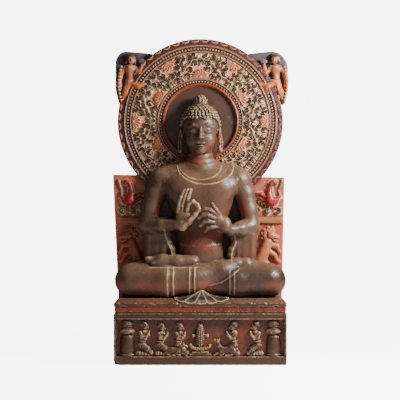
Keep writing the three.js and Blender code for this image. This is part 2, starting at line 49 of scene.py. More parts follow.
MM = 0.001
NODE = "relief_panel"

# Driving sizes in millimetres, as in the solid

low_corner, high_corner = (np.array(c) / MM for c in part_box(NODE))
FRONT = low_corner[1]
BACK = high_corner[1]
PANEL_HALF = 249.0
BASE_WIDTH = 472.0
FRIEZE_FLOOR = 24.0
FRIEZE_HEIGHT = 101.0
FRIEZE_RECESS = 16.0
FRIEZE_END = 7.0
BLOCK_TOP = 142.0
GROOVE_TOP = 144.5
RED_TOP = 158.5
LIP_TOP = 170.0
SEAT_TOP = 181.0
SEAT_BEVEL = 16.0

PLATE_Y = BACK - 50.0
PLATE_TOP_WIDTH = 485.0
PLATE_TOP_SHIFT = -4.5
PLATE_TOP_DROP = 8.0
PLATE_FOOT_WIDTH = 460.0
PLATE_HEIGHT = 341.0
PLATE_TOP = SEAT_TOP + PLATE_HEIGHT
BAR_FOOT = SEAT_TOP + 0.598 * PLATE_HEIGHT
BAR_HEIGHT = 16.0
LION_FOOT = SEAT_TOP + 0.2 * PLATE_HEIGHT

FIGURE_HEIGHT = 563.0
LAYOUT_HEIGHT = 558.0
UNIT = FIGURE_HEIGHT / LAYOUT_HEIGHT

HALO_RADIUS = 233.0
HALO_Y = PLATE_Y - 12.0
HALO_Z = SEAT_TOP + 0.87 * FIGURE_HEIGHT
BORDER_OUTER = HALO_RADIUS - 16.0
SCROLL_OUTER = BORDER_OUTER - 24.0
SCROLL_INNER = SCROLL_OUTER - 70.0
DISC_RADIUS = SCROLL_INNER - 22.0
LOBE_Y = BACK - 44.0
LOBE_FOOT = HALO_Z + 0.22 * HALO_RADIUS
ATTENDANT_FOOT = HALO_Z + 0.27 * HALO_RADIUS

# Paint, as linear red, green and blue


def srgb(red, green, blue):
    def linear(c):
        c /= 255
        return c / 12.92 if c <= 0.04045 else ((c + 0.055) / 1.055) ** 2.4

    return np.array([linear(red), linear(green), linear(blue)])


BROWN = srgb(84, 61, 47)
FIGURE_HAIR = srgb(72, 58, 46)
BLOCK_BROWN = srgb(61, 41, 28)
FRIEZE_HAIR = srgb(38, 26, 20)
LIP_SHADE_BROWN = srgb(58, 35, 26)
RED_BAND = srgb(122, 48, 24)
WORN_RED = srgb(52, 34, 26)
RED_BROWN = srgb(120, 50, 30)
DARK_WASH_AND_SHADE = srgb(30, 20, 15)
DARK_EMBER = srgb(104, 46, 27)
EMBER = srgb(138, 56, 27)
TAN = srgb(186, 152, 112)
PALE = srgb(222, 190, 150)
DISC = srgb(62, 48, 38)
SALMON = srgb(242, 172, 142)
LEAF = srgb(27, 23, 15)
LEAF_GREEN = srgb(44, 48, 28)
FLOWER = srgb(164, 62, 28)
FLOWER_PINK = srgb(168, 70, 52)
RIM = srgb(58, 31, 24)
OCHRE = srgb(140, 100, 66)
FILLET = srgb(88, 54, 42)
SKIN = srgb(158, 96, 62)
SKIRT = srgb(184, 98, 46)
ATTENDANT_HAIR = srgb(62, 38, 26)
SLATE = srgb(78, 74, 82)
CREST = srgb(140, 36, 28)
PLATE_PINK = srgb(190, 92, 70)
# painted shadow on the plate in the gaps beside the arms
PLATE_PAINTED_SHADOW = srgb(62, 28, 20)
# the left bar and lion are darker copies of the right ones: painted shade on the side away from the light
BARS_SHADED_LEFT = (srgb(138, 70, 42), srgb(158, 104, 54))
LIONS_SHADED_LEFT = (srgb(150, 74, 42), srgb(176, 108, 72))
FAN_SHADES = (srgb(56, 56, 36), srgb(58, 62, 42), srgb(84, 86, 66), srgb(86, 64, 60), srgb(50, 54, 38))

# Distance fields

REACH = 12.0
COARSE = 1.0


def graded(*spans):
    """Coordinates over spans of (low, high, step), close together where the carving is fine."""
    parts = [np.arange(low, high, step * COARSE) for low, high, step in spans]
    return np.concatenate([*parts, [spans[-1][1]]]).astype(np.float32)


def smooth_min(a, b, blend):
    if blend <= 0:
        return np.minimum(a, b)
    meet = np.maximum(blend - np.abs(a - b), 0) / blend
    return np.minimum(a, b) - meet * meet * blend * 0.25


class Block:
    """A distance field on a graded grid, negative inside the stone."""

    def __init__(self, *axes):
        self.axes = axes
        self.place = None
        self.lines = []
        self.d = np.full([len(a) for a in axes], REACH, np.float32)

    def window(self, low, high):
        return tuple(
            slice(max(0, np.searchsorted(a, lo) - 1), np.searchsorted(a, hi) + 1)
            for a, lo, hi in zip(self.axes, low, high)
        )

    def grid(self, window):
        x, y, z = (a[w] for a, w in zip(self.axes, window))
        return x[:, None, None], y[None, :, None], z[None, None, :]

    def coordinates(self):
        return self.grid((slice(None),) * 3)

    def group(self, a, b):
        """A part of the grid between two opposite corners, to shape by itself and merge."""
        place = self.window(np.minimum(a, b), np.maximum(a, b))
        part = Block(*(a[w] for a, w in zip(self.axes, place)))
        part.place = place
        part.lines = self.lines
        return part

    def add(self, forms, blend=0.0):
        """Joins a form, or each of a list of forms, with a soft corner."""
        for distance, low, high in forms if isinstance(forms, list) else [forms]:
            w = self.window(low - REACH, high + REACH)
            self.d[w] = smooth_min(self.d[w], distance(*self.grid(w)), blend)

    def cut(self, form, blend=0.0):
        distance, low, high = form
        w = self.window(low - REACH, high + REACH)
        self.d[w] = -smooth_min(-self.d[w], distance(*self.grid(w)), blend)

    def merge(self, part, blend=0.0):
        self.d[part.place] = smooth_min(self.d[part.place], part.d, blend)

    def press(self, form, depth, width, line=0.0):
        """A rounded groove of this depth along a form, or a ridge where it is negative, with a pale line."""
        distance, low, high = form
        if line:
            self.lines.append((distance, low, high, 1.1 * width, line))
        w = self.window(low - 3 * width, high + 3 * width)
        near = np.maximum(distance(*self.grid(w)), 0) / width
        self.d[w] += depth * np.exp(-near * near)

    def unevenness(self, size, seed):
        """Small random swells of the surface."""
        rng = np.random.default_rng(seed)
        waves = []
        for length in (70, 41, 26, 17, 11):
            turn = rng.uniform(0, 2 * math.pi, 3)
            share = rng.uniform(0.75, 1.3, 3) * 2 * math.pi / length
            waves.append([np.sin(a * s + t) for a, s, t in zip(self.axes, share, turn)])
        for wx, wy, wz in waves:
            self.d += (size * wx)[:, None, None] * wy[None, :, None] * wz[None, None, :]

    def line_strength(self, points):
        """How much of the pale line paint lies on each point."""
        strength = np.zeros(len(points))
        for distance, low, high, width, line in self.lines:
            reach = 3 * width
            near = ((points > low - reach) & (points < high + reach)).all(1)
            x, y, z = points[near].T
            away = np.maximum(distance(x, y, z), 0) / width
            strength[near] = np.maximum(strength[near], line * np.exp(-away * away))
        return strength

    def sample(self, points):
        """The field at points, between the grid's values."""
        cells, parts = [], []
        for a, p in zip(self.axes, points.T):
            i = np.clip(np.searchsorted(a, p) - 1, 0, len(a) - 2)
            cells.append(i)
            parts.append(np.clip((p - a[i]) / (a[i + 1] - a[i]), 0, 1))
        total = np.zeros(len(points))
        for corner in product((0, 1), repeat=3):
            weight = np.prod([t if c else 1 - t for c, t in zip(corner, parts)], axis=0)
            total += weight * self.d[tuple(i + c for c, i in zip(corner, cells))]
        outside = np.any([(p < a[0]) | (p > a[-1]) for a, p in zip(self.axes, points.T)], axis=0)
        return np.where(outside, REACH, total)


# Forms: each gives a distance, and the low and high corners of its box


def cone(a, b, ra, rb):
    a, b = np.asarray(a, float), np.asarray(b, float)
    along = b - a
    square = max(along @ along, 1e-6)

    def distance(x, y, z):
        dx, dy, dz = x - a[0], y - a[1], z - a[2]
        t = np.clip((dx * along[0] + dy * along[1] + dz * along[2]) / square, 0, 1)
        dx, dy, dz = dx - t * along[0], dy - t * along[1], dz - t * along[2]
        return np.sqrt(dx * dx + dy * dy + dz * dz) - (ra + t * (rb - ra))

    radius = max(ra, rb)
    return distance, np.minimum(a, b) - radius, np.maximum(a, b) + radius


def blob(centre, radii):
    c, r = np.asarray(centre, float), np.asarray(radii, float)

    def distance(x, y, z):
        px, py, pz = (x - c[0]) / r[0], (y - c[1]) / r[1], (z - c[2]) / r[2]
        k = np.sqrt(px * px + py * py + pz * pz) + 1e-6
        slope = np.sqrt((px / r[0]) ** 2 + (py / r[1]) ** 2 + (pz / r[2]) ** 2) + 1e-6
        return k * (k - 1) / slope

    return distance, c - r, c + r


def slab(low, high, rounding=0.0):
    low, high = np.asarray(low, float), np.asarray(high, float)
    c, h = (low + high) / 2, (high - low) / 2 - rounding

    def distance(x, y, z):
        q = [np.abs(p - m) - s for p, m, s in zip((x, y, z), c, h)]
        outside = np.sqrt(sum(np.maximum(v, 0) ** 2 for v in q))
        inside = np.minimum(np.maximum(np.maximum(q[0], q[1]), q[2]), 0)
        return outside + inside - rounding

    return distance, low, high


def limb(stations):
    """Round cones through stations (point, radius)."""
    return [cone(p, q, r, s) for (p, r), (q, s) in zip(stations, stations[1:])]


def from_line(x, z, start, end):
    """The squared distance from a straight line, as seen from the front."""
    (x0, z0), (x1, z1) = start, end
    ax, az = x1 - x0, z1 - z0
    t = np.clip(((x - x0) * ax + (z - z0) * az) / max(ax * ax + az * az, 1e-6), 0, 1)
    dx, dz = x - x0 - t * ax, z - z0 - t * az
    return dx * dx + dz * dz


def trace(points, front):
    """A thin line through points, as seen from the front: it runs on through the depths given."""
    near, far = front

    def distance(x, y, z):
        flat = np.minimum.reduce([from_line(x, z, a, b) for a, b in zip(points, points[1:])])
        return np.sqrt(flat) + np.maximum(np.maximum(near - y, y - far), 0)

    xs, zs = zip(*points)
    return distance, np.array([min(xs), near, min(zs)]), np.array([max(xs), far, max(zs)])


def arc(centre, radii, start, end, steps=14):
    turns = np.radians(np.linspace(start, end, steps + 1))
    return [(centre[0] + radii[0] * math.cos(a), centre[1] + radii[1] * math.sin(a)) for a in turns]


# Meshing a field


def surface_net(block):
    """Points and quads of the surface where the field is zero."""
    d = block.d
    for axis in range(3):
        rim = [slice(None)] * 3
        for end in (0, -1):
            rim[axis] = end
            d[tuple(rim)] = np.maximum(d[tuple(rim)], 0.5)
    inside = d < 0
    nx, ny, nz = d.shape
    count = np.zeros((nx - 1, ny - 1, nz - 1), np.uint8)
    for i, j, k in product((0, 1), repeat=3):
        count += inside[i : nx - 1 + i, j : ny - 1 + j, k : nz - 1 + k]
    active = (count > 0) & (count < 8)
    cells = np.argwhere(active)
    number = np.full(active.shape, -1, np.int32)
    number[active] = np.arange(len(cells))

    total = np.zeros((len(cells), 3))
    hits = np.zeros(len(cells))
    for axis in range(3):
        others = [a for a in range(3) if a != axis]
        for pair in product((0, 1), repeat=2):
            offset = np.zeros(3, int)
            offset[others] = pair
            step = np.zeros(3, int)
            step[axis] = 1
            d0 = d[tuple((cells + offset).T)]
            d1 = d[tuple((cells + offset + step).T)]
            cross = (d0 < 0) != (d1 < 0)
            t = d0[cross] / (d0[cross] - d1[cross])
            total[cross] += offset + t[:, None] * step
            hits[cross] += 1
    local = total / hits[:, None]
    points = np.empty_like(local)
    for axis, a in enumerate(block.axes):
        i = cells[:, axis]
        points[:, axis] = a[i] + local[:, axis] * (a[i + 1] - a[i])

    quads = []
    for axis in range(3):
        u, v = (axis + 1) % 3, (axis + 2) % 3
        first = [slice(None)] * 3
        first[axis] = slice(0, -1)
        second = list(first)
        second[axis] = slice(1, None)
        leaving = inside[tuple(first)] & ~inside[tuple(second)]
        entering = ~inside[tuple(first)] & inside[tuple(second)]
        for change, flip in ((leaving, False), (entering, True)):
            edge = np.argwhere(change)
            edge = edge[(edge[:, u] > 0) & (edge[:, v] > 0)]
            corners = []
            for du, dv in ((1, 1), (0, 1), (0, 0), (1, 0)):
                cell = edge.copy()
                cell[:, u] -= du
                cell[:, v] -= dv
                corners.append(number[tuple(cell.T)])
            quads.append(np.stack(corners[::-1] if flip else corners, 1))
    return points, np.concatenate(quads)


def mesh_object(name, points, quads):
    me = bpy.data.meshes.new(name)
    me.vertices.add(len(points))
    me.vertices.foreach_set("co", (points * MM).astype(np.float32).ravel())
    me.loops.add(quads.size)
    me.loops.foreach_set("vertex_index", quads.astype(np.int32).ravel())
    me.polygons.add(len(quads))
    me.polygons.foreach_set("loop_start", np.arange(0, quads.size, 4, dtype=np.int32))
    me.update(calc_edges=True)
    ob = bpy.data.objects.new(name, me)
    bpy.context.collection.objects.link(ob)
    return ob


MOST_TRIANGLES = 192_000


def thinned(ob):
    """The same surface with fewer triangles, kept where it curves."""
    triangles = 2 * len(ob.data.polygons)
    if triangles > MOST_TRIANGLES:
        thin = ob.modifiers.new("Thin", "DECIMATE")
        thin.ratio = MOST_TRIANGLES / triangles
        depsgraph = bpy.context.evaluated_depsgraph_get()
        made = bpy.data.meshes.new_from_object(ob.evaluated_get(depsgraph))
        ob.modifiers.clear()
        ob.data = made
    ob.data.shade_smooth()
    return ob


def rows_of(items, name, kind, width):
    flat = np.empty(width * len(items), kind)
    items.foreach_get(name, flat)
    return flat.reshape(-1, width)


def corner_points(ob):
    return rows_of(ob.data.vertices, "co", np.float32, 3) / MM


def corner_normals(ob):
    return rows_of(ob.data.vertex_normals, "vector", np.float32, 3)


def convexity(ob, points, normals, passes):
    """How sharply the surface stands out (above 0) or falls in (below 0) at each vertex."""
    a, b = rows_of(ob.data.edges, "vertices", np.int32, 2).T
    step = points[b] - points[a]
    bend = ((normals[b] - normals[a]) * step).sum(1) / np.maximum((step * step).sum(1), 0.05)
    n = len(points)
    ends = np.concatenate([a, b])
    share = np.maximum(np.bincount(ends, minlength=n), 1)
    value = np.bincount(ends, np.concatenate([bend, bend]), n) / share
    for _ in range(passes):
        around = np.bincount(a, value[b], n) + np.bincount(b, value[a], n)
        value = 0.5 * value + 0.5 * around / share
    return value


def keep_numbers(ob, name, values):
    layer = ob.data.attributes.new(name, "FLOAT", "POINT")
    layer.data.foreach_set("value", np.asarray(values, np.float32))


def keep_colours(ob, name, values):
    layer = ob.data.attributes.new(name, "FLOAT_COLOR", "POINT")
    full = np.ones((len(values), 4), np.float32)
    full[:, :3] = values
    layer.data.foreach_set("color", full.ravel())


def ramp(value, low, high):
    t = np.clip((value - low) / (high - low), 0, 1)
    return t * t * (3 - 2 * t)


def zone(value, rise, full, fall, end):
    """Rises from 0 to 1, stays there, and falls to 0 again."""
    return ramp(value, rise, full) * (1 - ramp(value, fall, end))


# The seated figure


def at(x, forward, z):
    """A point of the figure: across, forward of the throne back, and above the seat."""
    return np.array([x * UNIT, PLATE_Y - forward * UNIT, SEAT_TOP + z * UNIT])


def depths(near, far):
    """From one distance forward of the throne back to another."""
    return at(0, near, 0)[1], at(0, far, 0)[1]


def chain(*stations):
    return limb([(at(x, forward, z), radius * UNIT) for x, forward, z, radius in stations])


def oval(x, forward, z, across, deep, high):
    return blob(at(x, forward, z), np.array([across, deep, high]) * UNIT)


def seen(points):
    """Places on the figure as seen from the front: across, and above the seat."""
    return [(x * UNIT, SEAT_TOP + z * UNIT) for x, z in points]


TORSO = np.array(
    [
        # height, half width, forward centre, half depth
        [20, 92, 20, 44],
        [40, 86, 22, 46],
        [80, 73, 25, 46],
        [115, 66, 27, 45],
        [150, 64, 27, 43],
        [205, 72, 28, 45],
        [255, 88, 29, 49],
        [295, 99, 28, 50],
        [325, 104, 25, 44],
        [346, 96, 21, 37],
        [361, 74, 19, 32],
        [375, 46, 19, 29],
        [386, 30, 20, 27],
    ]
)


def torso_form():
    heights = TORSO[:, 0]

    def distance(x, y, z):
        up = (z - SEAT_TOP) / UNIT
        half, centre, deep = (np.interp(up, heights, TORSO[:, i]) for i in (1, 2, 3))
        px = x / UNIT / half
        py = ((PLATE_Y - y) / UNIT - centre) / deep
        k = np.sqrt(px * px + py * py) + 1e-6
        slope = np.sqrt((px / half) ** 2 + (py / deep) ** 2) + 1e-6
        ends = np.maximum(heights[0] - up, up - heights[-1])
        return np.maximum(k * (k - 1) / slope * UNIT, ends * UNIT)

    return distance, at(-110, 90, heights[0]), at(110, -25, heights[-1])


def sculpt_torso(whole):
    body = whole.group(at(-185, 100, 5), at(185, -45, 420))
    body.add(torso_form())
    body.add(chain((0, 20, 352, 37), (0, 24, 405, 33)), 14)
    for side in (-1, 1):
        # chest, then shoulder and upper arm in one sweep
        body.add(oval(side * 44, 56, 298, 46, 24, 38), 22)
        body.add(oval(side * 104, 20, 320, 37, 34, 36), 26)
        body.add(oval(side * 62, 14, 344, 44, 26, 26), 18)
    body.add(chain((-104, 20, 320, 32), (-124, 22, 286, 28.5), (-138, 28, 240, 25.5), (-146, 35, 200, 24)), 7)
    body.add(chain((104, 20, 320, 32), (122, 22, 286, 28.5), (134, 28, 238, 25), (139, 34, 196, 24)), 7)
    body.add(oval(0, 50, 128, 50, 24, 52), 20)
    # the robe's neck band, as two raised lines, and the rings of the neck
    front = depths(120, 30)
    for middle, halfwidth, drop, ridge in ((14, 78, 53, -1.7), (0, 58, 40, -1.2)):
        edge = seen(arc((middle, 362), (halfwidth, drop), 180, 360))
        body.press(trace(edge, front), ridge, 1.5, 0.25)
    body.press(trace(seen(arc((8, 362), (68, 46.5), 184, 356)), front), 1.0, 3.2)
    for height in (364, 378, 391):
        body.press(trace(seen(arc((0, height + 14), (36, 14), 200, 340)), front), 1.3, 1.9)
    # a raised belt line
    body.press(trace(seen(arc((0, 152), (64, 12), 200, 340)), front), -1.0, 1.4)
    whole.merge(body)


def sculpt_arms(whole):
    """The forearms, each with the robe's end that falls from it to the lap."""
    drapes = whole.group(at(-172, 80, 40), at(172, -20, 225))
    for side, x0, x1 in ((-1, -156, -90), (1, 92, 155)):
        middle, half = (x0 + x1) / 2, (x1 - x0) / 2
        drapes.add(oval(middle, 26, 180, half + 1, 34, 30), 0)
        drapes.add(slab(at(x0, 58, 64), at(x1, -12, 184), 15), 14)
        # its inner hem falls towards the lap, with a small zigzag
        foot = -76 if side < 0 else 84
        hem = [(side * 98, 190), (side * 93, 165), (foot + side * 12, 148), (foot + side * 3, 130),
               (foot, 112), (foot + side * 3, 74)]
        for (xa, za), (xb, zb) in zip(hem, hem[1:]):
            drapes.add(chain((xa, 46, za, 9), (xb, 46, zb, 9)), 8)
        edge = seen([(x + side * 1.5, z) for x, z in hem])
        drapes.press(trace(edge, depths(80, 46)), -1.4, 1.4, 0.5)
        for share in (0.3, 0.66):
            x = x0 + share * (x1 - x0)
            bow = 8 * (share - 0.5)
            fold = [(x - bow, 178), (x, 130), (x + bow, 74)]
            drapes.press(trace(seen(fold), depths(80, 35)), 0.8, 6)
    arms = whole.group(at(-185, 112, 150), at(185, -10, 240))
    arms.add(chain((-146, 35, 198, 25), (-104, 60, 198, 21), (-58, 84, 202, 14.5)), 6)
    arms.add(chain((139, 34, 194, 25), (110, 60, 187, 21), (82, 80, 184, 14.5)), 6)
    whole.merge(drapes, 4)
    whole.merge(arms, 5)


def sculpt_hands(whole):
    far = whole.group(at(-78, 116, 168), at(14, 55, 312))
    far.add(oval(-48, 90, 218, 18, 10, 29), 0)
    far.add(oval(-33, 95, 214, 13, 9.5, 18), 8)
    far.add(cone(at(-46, 92, 204), at(-47, 94, 190), 12 * UNIT, 5 * UNIT), 6)
    far.add(chain((-60, 84, 200, 13), (-50, 88, 196, 13)), 10)
    for i in range(3):
        base, tip = -60 + 9.6 * i, -43 + 8.6 * i
        far.add(chain((base, 91, 234, 6.4), (base + 2, 96, 252, 6.2), (base + 8, 97, 274, 5.8),
                      (tip, 94, 295 - abs(1.5 * i - 2), 4.8)), 1.5)
    far.add(chain((-37, 94, 238, 6.4), (-32, 101, 256, 6), (-20, 105, 263, 5.6), (-8, 105, 254, 5.2),
                  (-3, 104, 244, 4.8)), 1.5)
    far.add(chain((-42, 96, 202, 9), (-27, 101, 214, 7.8), (-14, 104, 227, 6.6), (-4, 105, 240, 5.2)), 2.5)
    near = whole.group(at(-14, 118, 160), at(104, 50, 270))
    near.add(chain((82, 80, 184, 14.5), (68, 87, 192, 15)), 6)
    near.add(oval(59, 88, 204, 25, 14, 21), 10)
    near.add(oval(44, 92, 212, 15, 12, 17), 10)
    fingers = (
        ((42, 96, 227, 6.6), (26, 104, 240, 6.3), (12, 105, 243, 5.8), (2, 103, 238, 5)),
        ((38, 99, 217, 6.8), (21, 107, 226, 6.5), (7, 107, 226, 6), (-3, 103, 219, 5.2)),
        ((38, 99, 205, 6.6), (22, 106, 209, 6.2), (9, 106, 206, 5.7), (1, 103, 198, 5)),
        ((44, 97, 194, 6.2), (30, 103, 193, 5.8), (19, 103, 189, 5.3), (13, 100, 182, 4.6)),
        ((54, 92, 222, 7.4), (44, 98, 238, 6.4), (35, 100, 250, 5.6), (31, 99, 257, 4.8)),
    )
    for finger in fingers:
        near.add(chain(*finger), 1.5)
    whole.merge(far, 3)
    whole.merge(near, 3)
    return far


def sculpt_legs(whole):
    lap = whole.group(at(-205, 90, -4), at(205, -12, 130))
    lap.add(oval(0, 30, 48, 150, 46, 50), 0)
    lap.add(chain((-186, 22, 34, 32), (186, 22, 34, 32)), 8)
    for side in (-1, 1):
        lap.add(chain((side * 62, 24, 62, 48), (side * 130, 42, 54, 48), (side * 187, 54, 46, 47)), 14)
    back = whole.group(at(0, 125, -6), at(245, 0, 110))
    back.add(chain((188, 58, 46, 47), (100, 64, 41, 43), (20, 58, 34, 34)), 12)
    front = whole.group(at(-245, 130, -6), at(160, 0, 130))
    front.add(chain((-188, 58, 46, 47), (-95, 68, 46, 46), (-10, 71, 50, 41), (62, 68, 70, 30),
                    (102, 62, 90, 19)), 12)
    # hems: a double line at the ankle and below the knee on one shin, one line on the other
    deep = depths(130, 60)
    for x in (-89, -73, -29, -15):
        front.press(trace(seen([(x, 84), (x - 1, 40), (x + 1, 6)]), deep), -1.4, 1.2, 0.55)
    for x in (-81, -22):
        front.press(trace(seen([(x, 84), (x, 40), (x, 6)]), deep), 1.0, 3.0)
    for x in (80, 92):
        back.press(trace(seen([(x, 72), (x, 40), (x, 8)]), deep), -1.2, 1.2, 0.4)
    # the resting foot, sole up, and the far foot with its toes
    foot = whole.group(at(-165, 112, 66), at(8, 50, 130))
    foot.add(chain((-20, 70, 97, 19), (-62, 73, 97, 18.5), (-104, 70, 98, 19.5), (-136, 64, 98, 14)), 10)
    for i in range(4):
        foot.add(oval(-142 + 1.5 * i, 75 - 2 * i, 108 - 6.5 * i, 10, 6, 4.4), 5)
    foot.add(oval(-116, 84, 92, 20, 7, 8), 9)
    far = whole.group(at(80, 108, 50), at(176, 30, 125))
    far.add(chain((100, 62, 90, 18), (128, 62, 92, 14), (146, 60, 84, 10)), 8)
    for i in range(4):
        far.add(oval(154 - 2.5 * i, 64 - 3 * i, 76 + 5 * i, 8, 6, 4), 2)
    whole.merge(lap)
    whole.merge(back, 3)
    whole.merge(front, 3)
    whole.merge(far, 3)
    whole.merge(foot, 2)
    crossing = [(24, 30), (58, 40), (82, 56), (106, 76)]
    whole.press(trace(seen(crossing), deep), 1.2, 1.6)
    whole.press(trace(seen([(x, z + 3) for x, z in crossing]), deep), -0.8, 1.2, 0.3)
    whole.press(trace(seen([(-140, 83), (-8, 83)]), deep), -0.8, 1.2, 0.4)


def sculpt_head(whole):
    head = whole.group(at(-78, 112, 352), at(78, -42, 566))
    head.add(oval(0, 36, 446, 43, 46, 52), 0)
    head.add(oval(0, 30, 474, 50, 50, 54), 6)
    head.add(oval(0, 46, 420, 31, 32, 28), 12)
    head.add(oval(0, 70, 403, 12, 10, 9), 10)
    for side in (-1, 1):
        head.add(oval(side * 21, 62, 432, 17, 15, 18), 12)
        # brow, eye socket, and the lowered lid with its line
        head.cut(oval(side * 19, 90.5, 455, 15, 9, 8), 8)
        head.add(chain((side * 7, 79, 466, 2), (side * 20, 77, 472, 2.2), (side * 36, 65, 466, 2)), 6)
        head.add(oval(side * 19, 69, 453, 12.5, 9.5, 7.5), 4)
        lid = seen(arc((side * 19, 453), (12, 5.5), 195, 345, 8))
        head.press(trace(lid, depths(100, 60)), 1.6, 1.3)
    head.add(chain((0, 78.5, 466, 4.2), (0, 86, 446, 4.6), (0, 88.5, 438, 5.4)), 4)
    for side in (-1, 1):
        head.add(oval(side * 6, 85, 437, 3.8, 4.5, 3.6), 3)
        head.add(oval(side * 5, 80.5, 421.5, 7.5, 4.5, 2.9), 2.5)
    head.add(oval(0, 79.5, 415, 9.5, 5.5, 3.8), 2)
    head.press(trace(seen([(-12.5, 419.6), (-6, 418), (0, 418.8), (6, 418), (12.5, 419.6)]),
                     depths(100, 60)), 1.9, 1.2)
    head.cut(oval(0, 86, 408.5, 9, 3.5, 2.6), 3)
    for side in (-1, 1):
        ear = head.group(at(side * 57 - 14, 50, 388), at(side * 57 + 14, 8, 482))
        ear.add(oval(side * 52, 27, 455, 7, 11, 17), 0)
        ear.add(chain((side * 54, 28, 446, 6), (side * 57.5, 30, 425, 5.5), (side * 56, 32, 404, 7)), 4)
        slit = [(side * 56, 442), (side * 57.5, 425), (side * 56.5, 406)]
        ear.press(trace(seen(slit), depths(60, 26)), 2.6, 1.7)
        ear.press(trace(seen([(side * 52, 468), (side * 50, 452)]), depths(60, 26)), 2.2, 2)
        head.merge(ear, 2)
    hair = head.group(at(-78, 112, 430), at(78, -42, 566))
    hair.add(oval(0, 29, 475, 52.5, 51.5, 55), 0)
    hair.add(oval(0, 27, 530, 17, 17, 25), 22)
    curl_rows(hair, (0, 29, 475), (52.5, 51.5, 55), 5.1, 0)
    curl_rows(hair, (0, 27, 530), (17.5, 17.5, 25.5), 4.4, -5)
    # the hairline runs level over the brow and falls away to the ears
    x, y, z = hair.coordinates()
    forward = (PLATE_Y - y) / UNIT
    up = (z - SEAT_TOP) / UNIT
    line = 452 + 38 * ramp(forward, 18, 62) + 3.5 * np.cos(x / UNIT / 5.2) * ramp(forward, 40, 70)
    hair.d = np.maximum(hair.d, (line - up) * 0.85)
    head.merge(hair)
    whole.merge(head, 4)
    return hair


def curl_rows(hair, centre, radii, curl, lowest):
    """Rows of small round curls over a dome, each row set between the curls of the last."""
    pitch = 1.95 * curl
    rng = np.random.default_rng(int(10 * curl))
    rows = int(math.radians(90 - lowest) * radii[2] / (0.88 * pitch))
    for row in range(rows + 1):
        latitude = math.radians(lowest) + row * 0.88 * pitch / radii[2]
        ring = math.cos(latitude)
        count = max(1, round(2 * math.pi * radii[0] * ring / pitch))
        for i in range(count):
            longitude = 2 * math.pi * (i + 0.5 * (row % 2)) / count
            outward = np.array([ring * math.cos(longitude), ring * math.sin(longitude), math.sin(latitude)])
            if outward[1] * radii[1] + centre[1] < -12:
                continue
            place = np.array(centre) + outward * radii + rng.uniform(-0.9, 0.9, 3)
            hair.add(oval(*place, curl, curl, curl), 0.8)


def figure_block():
    fine = 1.1
    whole = Block(
        graded((-246, -66, 1.7), (-66, 66, fine), (66, 246, 1.7)),
        graded((FRONT - 2, PLATE_Y + 2, 1.35), (PLATE_Y + 2, PLATE_Y + 30, 3.5)),
        graded((SEAT_TOP - 6, SEAT_TOP + 160, 1.7), (SEAT_TOP + 160, HALO_Z + 84, fine)),
    )
    sculpt_torso(whole)
    sculpt_arms(whole)
    sculpt_legs(whole)
    hand = sculpt_hands(whole)
    hair = sculpt_head(whole)
    # nothing reaches below the seat, in front of the plinth, or behind the middle of the throne back
    x, y, z = whole.coordinates()
    whole.unevenness(0.16, 3)
    whole.d = np.maximum(whole.d, SEAT_TOP - 3 - z)
    whole.d = np.maximum(whole.d, y - (PLATE_Y + 22))
    whole.d = np.maximum(whole.d, FRONT + 0.6 - y)
    return whole, hand, hair


# The plinth, its frieze and the cloth's fan

GROUND_Y = FRONT + FRIEZE_RECESS
FRIEZE_TOP = FRIEZE_FLOOR + FRIEZE_HEIGHT
FRIEZE_HALF = BASE_WIDTH / 2 - FRIEZE_END


def bevel_front(z):
    return FRONT + np.clip((z - LIP_TOP) / (SEAT_TOP - LIP_TOP), 0, 1) * SEAT_BEVEL


def limbs_at(block, spot, share, stations, blend):
    """Limbs in a carved figure's own measure, each through stations (across, forward, height, radius)."""
    for line in stations:
        block.add(limb([(spot(*s[:3]), s[3] * share) for s in line]), blend)


def carve_figure(block, x, facing, share, stations):
    """Limbs on the frieze's ground, across in the way that the figure faces."""
    def spot(across, forward, z):
        return (x + facing * across * share, GROUND_Y - forward * share, FRIEZE_FLOOR + z * share)

    limbs_at(block, spot, share, stations, 1.6)
    return spot


# the kneeling figures: place as a share of half the frieze, size, and how far each bows
KNEELERS = ((-0.68, 0.98, 1), (-0.46, 0.93, 0), (-0.25, 0.94, 0.5), (0.39, 0.96, 0), (0.67, 0.96, 1))


